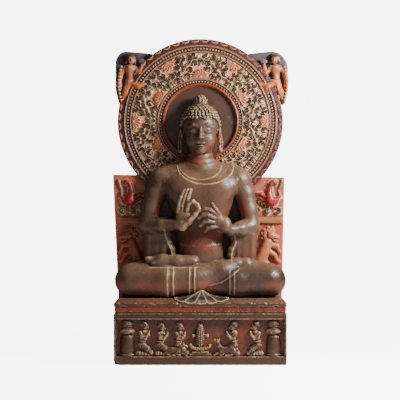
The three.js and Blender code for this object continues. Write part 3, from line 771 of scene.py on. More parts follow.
def kneeler(block, x, facing, share, bow):
    """A kneeling figure. It returns the middle and the radius of the hair."""
    body = block.group((x - 42, FRONT - 2, FRIEZE_FLOOR - 4), (x + 42, GROUND_Y + 6, FRIEZE_TOP))
    lean = 4 * bow
    stations = [
        [(lean - 1, 4, 67, 8.5), (-3, 4, 46, 8.5), (-4, 5, 34, 10.5)],
        [(-4, 6, 34, 9.5), (12, 8, 20, 8.5), (22, 7, 10, 6.5)],
        [(-12, 6, 8, 8), (6, 7, 7, 6), (20, 6, 5, 5)],
        [(-8, 8, 66, 4.6), (-4, 12, 52, 4.4), (7, 13, 50, 3.8), (14, 12, 60, 3.6)],
        [(6, 6, 66, 4.2), (11, 8, 54, 3.8), (15, 10, 60, 3.4), (17, 10, 69, 2.8)],
    ]
    spot = carve_figure(body, x, facing, share, stations)
    body.add(blob(spot(lean + 1.5, 7, 84), np.array([8.6, 7.5, 10]) * share), 1)
    body.add(blob(spot(lean - 2.5, 6, 89), np.array([10.6, 8.5, 9.5]) * share), 0.5)
    body.add(blob(spot(lean - 7, 6, 95), np.array([5, 5, 5]) * share), 0.5)
    body.add(cone(spot(lean + 9, 10, 82), spot(lean + 10.5, 10, 80), 1.5 * share, 1.8 * share), 1)
    deep = (FRONT - 4, GROUND_Y - 2)
    for i in range(5):
        top = spot(-9 + 5 * i, 0, 33 - 3 * i)
        foot = spot(-14 + 8.5 * i, 0, 4)
        body.press(trace([(top[0], top[2]), (foot[0], foot[2])], deep), 0.9, 1.3)
    belt = [spot(-14, 0, 44), spot(6, 0, 42)]
    body.press(trace([(p[0], p[2]) for p in belt], deep), -0.9, 1.2, 0.35)
    band = [spot(-10, 0, 76), spot(-2, 0, 60), spot(8, 0, 56)]
    body.press(trace([(p[0], p[2]) for p in band], deep), -0.7, 1.1, 0.35)
    block.merge(body, 0.8)
    return spot(lean - 4, 6, 91), 10.6 * share


def deer(block, x, facing, share, raised_head):
    body = block.group((x - 44, FRONT - 2, FRIEZE_FLOOR - 4), (x + 44, GROUND_Y + 6, FRIEZE_FLOOR + 62))
    neck = (24, 9, 40) if raised_head else (25, 9, 31)
    head = (33, 9, 46) if raised_head else (36, 9, 27)
    stations = [
        [(-20, 6, 15, 10.5), (-4, 7, 17, 9.5), (12, 8, 17, 9.5)],
        [(12, 8, 19, 8), (20, 9, 28, 6), (*neck, 5)],
        [(*neck, 4.8), (*head, 2.8)],
        [(14, 10, 10, 4), (27, 10, 8, 2.8), (33, 10, 3, 2.4)],
        [(-24, 10, 10, 5), (-12, 12, 4, 3), (2, 12, 3, 2.6)],
        [(8, 12, 8, 3.4), (16, 12, 3, 2.6)],
        [(-30, 6, 20, 2.2), (-34, 6, 13, 1.8)],
    ]
    spot = carve_figure(body, x, facing, share, stations)
    tip = np.array(neck) + (-5, 0, 8)
    body.add(cone(spot(*neck), spot(*tip), 2.6 * share, 1.6 * share), 0.6)
    tip = np.array(neck) + (1, 3, 8)
    body.add(cone(spot(*neck), spot(*tip), 2.4 * share, 1.4 * share), 0.6)
    block.merge(body, 0.8)


PILASTER = np.array(
    [
        # share of the frieze's height, radius
        [0.0, 20.5], [0.05, 20.5], [0.07, 18.4], [0.1, 18], [0.15, 19.4], [0.3, 19], [0.44, 18.2], [0.53, 16],
        [0.56, 13], [0.58, 13], [0.6, 16.6], [0.63, 19.8], [0.665, 21], [0.7, 19.8], [0.73, 16.6],
        [0.75, 13], [0.77, 12.5],
        [0.8, 14.6], [0.87, 16.2], [0.93, 14.2], [0.975, 9], [0.99, 0],
    ]
)


def pilaster(block, x):
    def distance(px, py, pz):
        radius = np.interp((pz - FRIEZE_FLOOR) / FRIEZE_HEIGHT, PILASTER[:, 0], PILASTER[:, 1])
        return (np.sqrt((px - x) ** 2 + ((py - GROUND_Y) / 0.8) ** 2) - radius) * 0.8

    low, high = np.array([x - 21, FRONT, FRIEZE_FLOOR]), np.array([x + 21, GROUND_Y + 16, FRIEZE_TOP])
    block.add((distance, low, high))


def wheel(block):
    """A wheel seen on its edge, on a low stand with a hanging garland."""
    middle = FRIEZE_FLOOR + 0.57 * FRIEZE_HEIGHT
    part = block.group((-40, FRONT - 2, FRIEZE_FLOOR - 4), (40, GROUND_Y + 6, FRIEZE_TOP))
    part.add(blob((0, GROUND_Y, middle), (12, 14, 36)))
    part.add(blob((0, GROUND_Y, middle - 6), (14, 13, 24)), 6)
    ground, axle = GROUND_Y - 5, middle - 2
    for side in (-1, 1):
        part.add(cone((side * 10, ground, axle), (side * 18, ground, axle), 5, 4.4), 2)
        part.add(blob((side * 20, ground, axle), (3.4, 4.6, 5.2)), 1)
    deep = (FRONT - 4, GROUND_Y - 2)
    part.press(trace([(0, middle - 32), (0, middle + 33)], deep), 1.3, 1.1)
    for side in (-1, 1):
        spoke = [(side * 6.5, middle - 24), (side * 7, middle), (side * 2, middle + 30)]
        part.press(trace(spoke, deep), 1.0, 0.9)
    for i in range(9):
        z = middle - 24 + 6 * i
        half = 11.5 * math.sqrt(max(0.05, 1 - ((z - middle) / 36) ** 2))
        for side in (-1, 1):
            part.press(trace([(side * 1.5, z), (side * half, z + 4)], deep), 0.8, 0.9)
    part.add(slab((-30, GROUND_Y - 11, FRIEZE_FLOOR - 3), (30, GROUND_Y + 4, FRIEZE_FLOOR + 7), 2))
    part.add(slab((-23, GROUND_Y - 9, FRIEZE_FLOOR + 6), (23, GROUND_Y + 4, FRIEZE_FLOOR + 13), 2))
    swag = arc((0, FRIEZE_FLOOR + 30), (26, 11), 180, 360, 10)
    for (xa, za), (xb, zb) in zip(swag, swag[1:]):
        part.add(cone((xa, GROUND_Y - 7, za), (xb, GROUND_Y - 7, zb), 4.4, 4.4), 1.5)
    for i in range(-4, 5):
        part.press(trace([(5 * i, FRIEZE_FLOOR + 12), (5.6 * i, FRIEZE_FLOOR + 30)], deep), 0.8, 0.9)
    block.merge(part)


FAN_APEX = (3.0, SEAT_TOP + 23)
FAN_SAG = 5.0
FAN_POINTS = [(-72, 182.5), (-44, 174), (-14, 171.5), (19, 171.5), (47, 174), (78, 182.5)]


def inside_polygon(points, x, z):
    """Distance to a polygon's edge, negative inside."""
    best = np.full(np.broadcast(x, z).shape, 1e6)
    inside = np.zeros(best.shape, bool)
    for (x0, z0), (x1, z1) in zip(points, points[1:] + points[:1]):
        best = np.minimum(best, from_line(x, z, (x0, z0), (x1, z1)))
        if z1 != z0:
            inside ^= ((z0 > z) != (z1 > z)) & (x < x0 + (z - z0) * (x1 - x0) / (z1 - z0))
    return np.where(inside, -1, 1) * np.sqrt(best)


def fan_outline():
    edge = [FAN_APEX, (-30, 189)]
    for (xa, za), (xb, zb) in zip(FAN_POINTS, FAN_POINTS[1:]):
        edge.append((xa, za))
        for share in (0.15, 0.35, 0.5, 0.65, 0.85):
            sag = FAN_SAG * math.sin(math.pi * share) ** 0.7
            edge.append((xa + share * (xb - xa), za + share * (zb - za) - sag))
    return [*edge, FAN_POINTS[-1], (36, 189)]


def cloth_fan(block):
    outline = fan_outline()

    def distance(x, y, z):
        rise = np.clip((z - SEAT_TOP) / 24, 0, 1)
        front = np.maximum(FRONT + 0.7, bevel_front(z) - 4.2 - 2 * rise)
        return np.maximum(np.maximum(inside_polygon(outline, x, z), front - y), y - (bevel_front(z) + 12))

    low, high = np.array([-76, FRONT, 164.0]), np.array([82, FRONT + 34, SEAT_TOP + 24])
    block.add((distance, low, high), 1)
    deep = (FRONT - 4, FRONT + 16)
    for x, z in FAN_POINTS:
        block.press(trace([FAN_APEX, (x, z)], deep), -1.0, 1.1, 0.6)
    for (xa, za), (xb, zb) in zip(FAN_POINTS, FAN_POINTS[1:]):
        middle = (0.25 * FAN_APEX[0] + 0.375 * (xa + xb), 0.25 * FAN_APEX[1] + 0.375 * (za + zb))
        foot = ((xa + xb) / 2, (za + zb) / 2)
        block.press(trace([middle, foot], deep), 1.6, 5.0)
        rim = [(xa + s * (xb - xa), za + s * (zb - za) - FAN_SAG * math.sin(math.pi * s) ** 0.7 + 1.2)
               for s in (0.06, 0.25, 0.5, 0.75, 0.94)]
        block.press(trace(rim, deep), -0.7, 1.1, 0.7)


def plinth_block():
    block = Block(
        graded((-240, 240, 1.25)),
        graded((FRONT - 2.6, GROUND_Y + 7, 1.2), (GROUND_Y + 7, BACK + 3, 5.5)),
        graded((-3, SEAT_TOP + 26, 1.25)),
    )
    x, y, z = block.coordinates()
    heights = [0, 2.2, 10, BLOCK_TOP - 2, BLOCK_TOP, GROOVE_TOP, GROOVE_TOP + 1.2, RED_TOP - 1.2, RED_TOP,
               RED_TOP + 1.6, LIP_TOP - 1.5, LIP_TOP, SEAT_TOP]
    insets = [2.2, 0.8, 0, 0, 3.2, 3.6, 2.2, 2, 2.4, 0.2, 0, 1.2, SEAT_BEVEL]
    inset = np.interp(z, heights, insets)
    across = np.abs(x) - (BASE_WIDTH / 2 - inset)
    depth = np.maximum(FRONT + inset - y, y - BACK)
    corner = np.sqrt(np.maximum(across + 3, 0) ** 2 + np.maximum(depth + 3, 0) ** 2) - 3
    side = np.maximum(np.minimum(np.maximum(across, depth), -3) + 3, 0) + np.where(
        (across > -3) & (depth > -3), corner, np.maximum(across, depth)
    )
    block.d = np.maximum(side, np.maximum(-z, z - SEAT_TOP)).astype(np.float32)
    recess = slab((-FRIEZE_HALF, FRONT - 20, FRIEZE_FLOOR), (FRIEZE_HALF, GROUND_Y, FRIEZE_TOP), 1.2)
    block.cut(recess, 1.5)
    for side in (-1, 1):
        pilaster(block, side * (FRIEZE_HALF - 29.2))
        deer(block, side * 71, -side, 0.98, side > 0)
    hair = [kneeler(block, place * FRIEZE_HALF, -math.copysign(1, place), share, bow)
            for place, share, bow in KNEELERS]
    wheel(block)
    cloth_fan(block)
    block.unevenness(0.2, 11)
    rng = np.random.default_rng(5)
    # small chips along the edges: the height of each edge, and how far in it stands
    edges = ((LIP_TOP, 1), (BLOCK_TOP - 1, 0), (FRIEZE_FLOOR, 0), (2, 0), (RED_TOP, 2))
    for _ in range(46):
        px = rng.uniform(-BASE_WIDTH / 2, BASE_WIDTH / 2)
        pz, inset_here = edges[rng.integers(5)]
        size = rng.uniform(1.6, 3.6)
        chip = blob((px, FRONT + inset_here - 0.45 * size, pz), (size * rng.uniform(1, 3), size, size))
        block.cut(chip, 1)
    corners = ((-240, -3, 17), (-236, 12, 4), (238, -2, 5), (-237, LIP_TOP, 4), (237, LIP_TOP + 1, 4))
    for px, pz, size in corners:
        block.cut(blob((px, FRONT, pz), (size, size, size)), 2)
    block.d = np.maximum(block.d, np.maximum(FRONT - y, -z)).astype(np.float32)
    return block, hair


# The halo: a relief over its face, as a height and paint on a fine flat raster


class Sheet:
    """Layers over the halo's face, read by place."""

    def __init__(self, step):
        reach = HALO_RADIUS + 12
        self.xs = np.arange(-reach, reach + step, step)
        self.zs = self.xs + HALO_Z
        self.step = step
        self.x, self.z = np.meshgrid(self.xs, self.zs - HALO_Z, indexing="ij")
        self.r = np.hypot(self.x, self.z)
        self.turn = np.arctan2(self.z, self.x)
        self.layers = {}

    def window(self, x, z, reach):
        def index(place):
            return int((place - self.xs[0]) / self.step)

        return tuple(slice(max(0, index(p - reach)), index(p + reach) + 2) for p in (x, z))

    def read(self, name, x, z):
        layer = self.layers[name]
        i = np.clip((x - self.xs[0]) / self.step, 0, len(self.xs) - 1.001)
        j = np.clip((z - self.zs[0]) / self.step, 0, len(self.zs) - 1.001)
        i0, j0 = i.astype(int), j.astype(int)
        s, t = i - i0, j - j0
        if layer.ndim == 3:
            s, t = s[..., None], t[..., None]
        low = layer[i0, j0] * (1 - s) + layer[i0 + 1, j0] * s
        high = layer[i0, j0 + 1] * (1 - s) + layer[i0 + 1, j0 + 1] * s
        return low * (1 - t) + high * t


def dome(inside, rise, height):
    """Height of a rounded raised shape from the distance inside its edge."""
    share = np.clip(inside / rise, 0, 1)
    return height * np.sqrt(np.clip(share * (2 - share), 0, 1))


def ring_beads(sheet, radius, count, size, height):
    spacing = 2 * math.pi * radius / count
    along = (sheet.turn * count / (2 * math.pi)) % 1 - 0.5
    away = np.hypot(along * spacing, sheet.r - radius)
    return height * np.sqrt(np.clip(1 - (away / size) ** 2, 0, 1)), away - size


def halo_sheet():
    sheet = Sheet(0.8 * COARSE)
    r, turn = sheet.r, sheet.turn
    profile = np.array(
        [
            # distance from the middle, height
            [0, -5], [DISC_RADIUS - 1.5, -5], [DISC_RADIUS, -3.6], [DISC_RADIUS + 1, 3],
            [DISC_RADIUS + 3.5, 5], [DISC_RADIUS + 7, 3.4], [DISC_RADIUS + 8.5, 0.2],
            [SCROLL_INNER - 6.5, 0.2], [SCROLL_INNER - 5.5, 3.2],
            [SCROLL_INNER - 3.5, 5], [SCROLL_INNER - 1.6, 3.4], [SCROLL_INNER, -0.4], [SCROLL_OUTER, -0.4],
            [SCROLL_OUTER + 1.6, 3.4], [SCROLL_OUTER + 3.5, 5], [SCROLL_OUTER + 5.6, 3.4],
            [SCROLL_OUTER + 6.6, 0.2], [BORDER_OUTER - 6.6, 0.2], [BORDER_OUTER - 5.6, 3.4],
            [BORDER_OUTER - 3.5, 5], [BORDER_OUTER - 1.4, 3.4], [BORDER_OUTER, 0.4], [BORDER_OUTER + 3, 1.4],
            [HALO_RADIUS - 1.5, 0.8], [HALO_RADIUS, -0.6], [HALO_RADIUS + 20, -0.6],
        ]
    )
    height = np.interp(r, profile[:, 0], profile[:, 1])
    tint = np.empty((*r.shape, 3))
    tint[...] = SALMON
    line = np.zeros(r.shape)
    shine = np.zeros(r.shape)
    calm = np.zeros(r.shape)

    def paint(colour, amount):
        tint[...] = tint * (1 - amount[..., None]) + colour * amount[..., None]

    def band(low, high, soft=0.8):
        return zone(r, low - soft, low + soft, high - soft, high + soft)

    # the scroll: a waving stem, fans between its waves, and curled leaves in the spaces
    ring = band(SCROLL_INNER, SCROLL_OUTER, 0.4)
    middle = (SCROLL_INNER + SCROLL_OUTER) / 2
    waves = 6
    swing = 20.0
    phase = waves * (turn - math.pi / 2)
    slope = swing * waves * np.sin(phase) / np.maximum(r, 50)
    stem = np.abs(r - middle - swing * np.cos(phase)) / np.sqrt(1 + slope**2) - 3.2
    ornament = dome(-stem, 3, 5.2) * ring
    paint(LEAF_GREEN, ramp(-stem, -0.3, 0.9) * ring)
    line = np.maximum(line, ring * np.exp(-(((stem - 0.4) / 0.8) ** 2)) * 0.7)

    fans = []
    radius = 24.0
    petals = 7
    for i in range(2 * waves):
        angle = math.pi / 2 + math.pi * i / waves
        inner = i % 2 == 0
        foot = SCROLL_INNER + 2 if inner else SCROLL_OUTER - 2
        opening = angle if inner else angle + math.pi
        fans.append((foot * math.cos(angle), foot * math.sin(angle), opening, inner))
    for fx, fz, opening, inner in fans:
        w = sheet.window(fx, fz, radius + 4)
        dx, dz = sheet.x[w] - fx, sheet.z[w] - fz
        reach = np.hypot(dx, dz)
        way = (np.arctan2(dz, dx) - opening + math.pi) % (2 * math.pi) - math.pi
        petal = way / math.pi * petals
        edge = radius * (1 - 0.13 * np.abs(np.sin(math.pi * (petal + 0.5))) ** 3)
        away = np.maximum(reach - edge, (np.abs(way) - 1.6) * np.maximum(reach, 1))
        rib = np.abs(((petal + 0.5) % 1) - 0.5) * math.pi / petals * np.maximum(reach, 2)
        ribbed = np.exp(-((rib / 0.75) ** 2)) * ramp(reach, 5, 9)
        lift = dome(-away, 3, 6.2) - 1.6 * ramp(-away, 1.5, 3) * (1 - ribbed) + dome(6 - reach, 4, 2.2)
        ornament[w] = np.where(away < 0, np.maximum(lift, 0), ornament[w])
        cover = ramp(-away, -0.5, 0.7)
        colour = FLOWER if inner or abs(fx) < 120 else FLOWER_PINK
        tint[w] = tint[w] * (1 - cover[..., None]) + colour * cover[..., None]
        edge_line = 0.8 * np.exp(-(((away - 0.2) / 0.8) ** 2))
        core = 0.45 * ramp(5.5 - reach, 0, 1.2) * (away < 0)
        line[w] = np.where(away < 0.4, 0, line[w])
        line[w] = np.maximum(line[w], np.maximum(np.maximum(edge_line, 0.7 * ribbed * (away < 0)), core))

    rng = np.random.default_rng(17)
    for row in range(4):
        row_radius = SCROLL_INNER + 9.5 + 17 * row
        pitch = 17.0
        count = int(2 * math.pi * row_radius / pitch)
        for i in range(count):
            angle = 2 * math.pi * (i + 0.5 * (row % 2)) / count + rng.uniform(-0.02, 0.02)
            place = row_radius + rng.uniform(-1.2, 1.2)
            cx, cz = place * math.cos(angle), place * math.sin(angle)
            near = min(
                math.hypot(cx - fx - 8 * math.cos(o), cz - fz - 8 * math.sin(o)) for fx, fz, o, _ in fans
            )
            stem_here = middle + swing * math.cos(waves * (angle - math.pi / 2))
            if near < 21 or abs(place - stem_here) < 5.5:
                continue
            way = 1 if (i + row) % 2 else -1
            start = angle + (0 if place < stem_here else math.pi) - way * (1.5 + rng.uniform(-0.5, 0.5))
            shade = LEAF if rng.random() < 0.75 else LEAF_GREEN
            curl_leaf(sheet, ornament, tint, line, calm, cx, cz, start, way, rng.uniform(4.6, 5.4), shade)

    height = height + np.where((r > SCROLL_INNER - 0.5) & (r < SCROLL_OUTER + 0.5), ornament, 0)

    # beads, fillets and the scalloped rim
    for bead_radius, count, size in ((SCROLL_INNER - 10, 84, 2.9), (SCROLL_OUTER + 12, 150, 3.3)):
        beads, away = ring_beads(sheet, bead_radius, count, size, 3.2)
        height += beads
        paint(BROWN * 0.55, band(bead_radius - 5.8, bead_radius + 5.8))
        paint(OCHRE, ramp(-away, -0.2, 1.2))
    paint(RED_BROWN, band(DISC_RADIUS, DISC_RADIUS + 8))
    for fillet in (SCROLL_INNER - 3.5, SCROLL_OUTER + 3.5, BORDER_OUTER - 3.5):
        paint(FILLET, band(fillet - 3.6, fillet + 3.6))
        line = np.where(np.abs(r - fillet) < 4.2, 0, line)
        line = np.maximum(line, 0.42 * np.exp(-(((r - fillet) / 1.1) ** 2)))
    paint(DISC, 1 - ramp(r, DISC_RADIUS - 1.5, DISC_RADIUS + 0.5))
    line = np.where(r < DISC_RADIUS + 7, 0, line)
    shine = np.maximum(shine, band(DISC_RADIUS + 2, DISC_RADIUS + 6) * 0.9)

    paint(RIM, ramp(r, BORDER_OUTER - 1, BORDER_OUTER + 1))
    scallops = 52
    rim_turn = ((turn * scallops / (2 * math.pi)) % 1 - 0.5) * 2 * math.pi * (HALO_RADIUS - 1) / scallops
    petal = np.hypot(rim_turn, (r - HALO_RADIUS - 1) * 1.05) - 11.5
    rim = r > BORDER_OUTER + 0.5
    height += np.where(rim, -1.1 * np.exp(-((petal / 1.1) ** 2)) + dome(-petal, 4, 0.5), 0)
    line = np.where(rim, 0, line)
    paint(SALMON * 0.6, np.where(rim, np.exp(-(((petal + 1.2) / 1.2) ** 2)), 0))
    paint(RIM * 0.8, np.where(rim, ramp(-petal, 3, 5), 0))
    sheet.layers = {"height": height, "tint": tint, "line": line, "glow": shine, "calm": calm}
    return sheet


def curl_leaf(sheet, ornament, tint, line, calm, cx, cz, start, way, radius, colour):
    """A comma of a leaf: a thin tail that thickens round a curl to a blunt head."""
    sweep = 4.5
    w = sheet.window(cx, cz, radius + 17)
    dx, dz = sheet.x[w] - cx, sheet.z[w] - cz
    rho = np.hypot(dx, dz)
    travel = (way * (np.arctan2(dz, dx) - start)) % (2 * math.pi)
    share = np.clip(travel / sweep, 0, 1)
    path = radius * (1.25 - 0.35 * share)
    half = 2.4 + 2.8 * np.sin(share * math.pi * 0.62)
    body = np.abs(rho - path) - half
    beyond = np.minimum(travel - sweep, 2 * math.pi - travel) * np.maximum(rho, 1)
    body = np.where(travel > sweep, np.maximum(beyond * 0.6, body), body)
    # the tail runs off straight, away from the curl
    tx, tz = cx + 1.25 * radius * math.cos(start), cz + 1.25 * radius * math.sin(start)
    ux, uz = way * math.sin(start), -way * math.cos(start)
    along = (sheet.x[w] - tx) * ux + (sheet.z[w] - tz) * uz
    side = np.abs((sheet.x[w] - tx) * uz - (sheet.z[w] - tz) * ux)
    tail = np.maximum(side - (1.7 - 0.1 * along), np.maximum(-along, along - 7))
    away = np.minimum(body, tail)
    raised = dome(-away, 2.6, 6.2) - 1.7 * np.exp(-(((rho - path) / 0.8) ** 2)) * (body < -0.6)
    ornament[w] = np.where(away < 0, np.maximum(raised, 0.4), ornament[w])
    cover = ramp(-away, -0.4, 0.4)
    tint[w] = tint[w] * (1 - cover[..., None]) + colour * cover[..., None]
    line[w] = np.where(away < 0, 0, line[w])
    line[w] = np.maximum(line[w], 0.85 * np.exp(-(((away - 0.5) / 0.75) ** 2)))
    calm[w] = np.maximum(calm[w], cover)


# The throne back, its beasts, the lobes and the attendants


def plate_edge(side, z):
    share = (z - BLOCK_TOP) / (PLATE_TOP - BLOCK_TOP)
    return PLATE_FOOT_WIDTH / 2 + share * ((PLATE_TOP_WIDTH - PLATE_FOOT_WIDTH) / 2 + side * PLATE_TOP_SHIFT)


def spot_on(side, middle_x, ground, foot, share):
    """Places on a figure at one side: outward from its middle, forward, and above its foot."""
    def spot(x, forward, z):
        return np.array([side * (middle_x + x * share), ground - forward * share, foot + z * share])

    return spot


def attendant_x(side):
    return 0.835 * HALO_RADIUS + 5 + 7 * side


def attendant(block, side):
    middle_x, ground, foot = attendant_x(side), LOBE_Y + 3, ATTENDANT_FOOT
    spot = spot_on(side, middle_x, ground, foot, 1)
    body = block.group((side * 130, 8, foot - 14), (side * 251, LOBE_Y + 12, foot + 142))

    def flat(*pairs, deep=(4, ground - 6)):
        return trace([(side * (middle_x + x), foot + z) for x, z in pairs], deep)

    body.add(cone(spot(6, 8, 90), spot(4, 8, 103), 5.5, 5))
    limbs_at(body, spot, 1, [[(6, 9, 85, 15), (6, 8, 68, 10.5), (7, 8, 50, 12.5)]], 4)
    body.add(blob(spot(-1, 13, 84), (7, 7, 7)), 5)
    body.add(blob(spot(13, 13, 84), (7, 7, 7)), 5)
    legs = [
        [(2, 10, 46, 11.5), (-18, 14, 36, 10.5), (-36, 13, 44, 7.5)],
        [(-36, 13, 43, 7), (-16, 12, 22, 6.5), (2, 9, 10, 5)],
        [(10, 10, 44, 12), (19, 12, 20, 9.5), (27, 9, -4, 6.2)],
    ]
    limbs_at(body, spot, 1, legs, 3)
    body.add(cone(spot(27, 9, -4), spot(31, 12, -8), 4.6, 3.2), 2)
    arms = [
        [(-7, 10, 89, 7.6), (-22, 14, 74, 6.8), (-28, 14, 98, 5.6)],
        [(18, 10, 89, 8), (31, 11, 76, 7.6), (36, 11, 50, 7), (32, 9, 20, 6)],
    ]
    limbs_at(body, spot, 1, arms, 2)
    for dx, dz in ((-5, 3), (0, 6), (5, 3), (0, 0)):
        body.add(blob(spot(-28 + dx, 14, 104 + dz), (5.5, 4.5, 5.5)), 1)
    head = body.group(spot(-16, 30, 98), spot(24, -8, 140))
    head.add(blob(spot(3, 13, 112), (11.5, 9.5, 13)))
    head.add(blob(spot(5, 10, 117), (16, 11, 13)), 1)
    head.add(blob(spot(16, 9, 108), (7, 8, 9)), 2)
    head.add(blob(spot(-8, 9, 108), (5, 7, 8)), 2)
    head.add(cone(spot(1, 21.5, 114), spot(0.5, 23.5, 109), 1.6, 2), 1)
    face = (8, ground - 14)
    head.press(flat((-3, 114), (7, 114), deep=face), 0.9, 1.4)
    head.press(flat((-1, 104.5), (4, 104.5), deep=face), 0.7, 1.1)
    body.merge(head, 1)
    body.press(flat((-6, 95), (5, 90), (15, 95)), -0.9, 1.2, 0.6)
    body.press(flat((-5, 55), (6, 51), (18, 54)), -1.0, 1.4, 0.5)
    body.press(flat((2, 50), (-14, 42), (-30, 50)), 0.8, 1.5)
    body.press(flat((12, 46), (20, 18), (27, 2)), 0.8, 1.5)
    body.press(flat((4, 46), (-12, 26), (-22, 32)), 0.7, 1.3)
    # a garland of beads over the outer arm, and a pleated cloth between the legs
    for i in range(11):
        z = 92 - 9.4 * i
        x = 30 + 8 * math.sin((94 - z) / 32)
        body.add(blob(spot(x, 17, z), (4.6, 4.2, 4.2)), 0.6)
    for x in (8, 12, 16):
        body.press(flat((x, 42), (x - 3 + 0.6 * (x - 8), 16)), 0.9, 1.4)
    body.press(flat((0, 78), (5, 74), (12, 78)), 0.8, 1.4)
    body.press(flat((-12, 66), (-2, 62)), 0.6, 1.3)
    block.merge(body, 1.2)
    return body


def lobes(block, side):
    outer, inner = PLATE_TOP_WIDTH / 2 + 1.5 + 4 * side, 0.58 * HALO_RADIUS
    top, corner = HALO_Z + 0.86 * HALO_RADIUS, 36 + 8 * side
    # the outer corner is worn to a slope
    slope = ((0, 1), (0.06, 0.74), (0.3, 0.36), (0.6, 0.1), (1, 0))
    curve = [(outer - corner * x, top - corner * z) for x, z in slope]
    outline = [(inner, LOBE_FOOT), (outer - 10, LOBE_FOOT), (outer, LOBE_FOOT + 38), *curve,
               (inner, top - 0.03 * HALO_RADIUS)]

    def distance(x, y, z):
        flat = inside_polygon(outline, side * x, z) + 2
        deep = np.maximum(LOBE_Y - y, y - BACK) + 2
        outside = np.sqrt(np.maximum(flat, 0) ** 2 + np.maximum(deep, 0) ** 2)
        return outside + np.minimum(np.maximum(flat, deep), 0) - 2

    xs = sorted((side * inner, side * outer))
    block.add((distance, np.array([xs[0], LOBE_Y, LOBE_FOOT]), np.array([xs[1], BACK, top])))


def crest(block, side):
    """A curled crest: a round-breasted bird shape with a curled neck, a leaf tail and a beaded chain."""
    near, far, foot = 12, PLATE_Y + 6, BAR_FOOT + 14
    part = block.group((side * 138, near, foot), (side * 250, far, PLATE_TOP + 4))

    def spot(x, forward, z):
        return np.array([side * x, PLATE_Y - forward, z])

    bird = part.group((side * 145, near, BAR_FOOT + 30), (side * 236, far, PLATE_TOP - 4))
    neck = [(214, 4, 497, 5), (207, 5, 503, 6), (200, 5, 497, 6), (196, 5, 482, 6.5), (194, 6, 466, 10),
            (197, 6, 450, 15)]
    limbs_at(bird, spot, 1, [neck], 2)
    bird.add(blob(spot(200, 4, 446), (21, 9, 13)), 4)
    tail = [
        [(188, 5, 456, 8), (172, 5, 466, 6), (158, 4, 470, 3)],
        [(184, 5, 448, 7), (168, 4, 455, 5), (156, 3, 456, 2.5)],
        [(214, 5, 450, 7), (224, 4, 462, 4), (222, 4, 474, 2.2)],
    ]
    limbs_at(bird, spot, 1, tail, 2)
    feathers = (
        [(186, 462), (172, 469), (160, 473)],
        [(184, 453), (170, 460), (158, 462)],
        [(190, 440), (200, 436), (214, 441)],
        [(192, 450), (202, 447), (212, 453)],
    )
    for line in feathers:
        bird.press(trace([(side * x, z) for x, z in line], (10, PLATE_Y - 3)), 0.9, 1.2)
    part.merge(bird)
    leaves = part.group((side * 138, near, foot), (side * 250, far, BAR_FOOT + 62))
    for cx, cz, r0, turn0, way in ((219, 420, 8.5, 2.4, -1), (190, 418, 6.5, 0.8, 1), (163, 424, 6, 2.6, 1)):
        stations = []
        for i in range(9):
            a = turn0 + way * 0.55 * i
            rr = r0 * (1.15 - 0.07 * i)
            stations.append((cx + rr * math.cos(a), 4, cz + rr * math.sin(a), 2 + 0.3 * i))
        limbs_at(leaves, spot, 1, [stations], 1)
    part.merge(leaves)
    beads = part.group((side * 138, near, foot), (side * 250, far, PLATE_TOP - 20))
    for x, z in ((152, 462), (157, 452), (164, 444), (173, 437), (183, 432), (194, 430), (205, 431)):
        beads.add(blob(spot(x, 3, z), (3.4, 4, 3.4)))
    part.merge(beads)
    strip = part.group((side * 200, near, 430), (side * 250, far, PLATE_TOP + 4))
    limbs_at(strip, spot, 1, [[(231, 0.5, 505, 5), (226, 0.5, 488, 5), (221, 0.5, 476, 3)]], 1)
    part.merge(strip)
    block.merge(part, 0.8)
    return bird, leaves, beads, strip


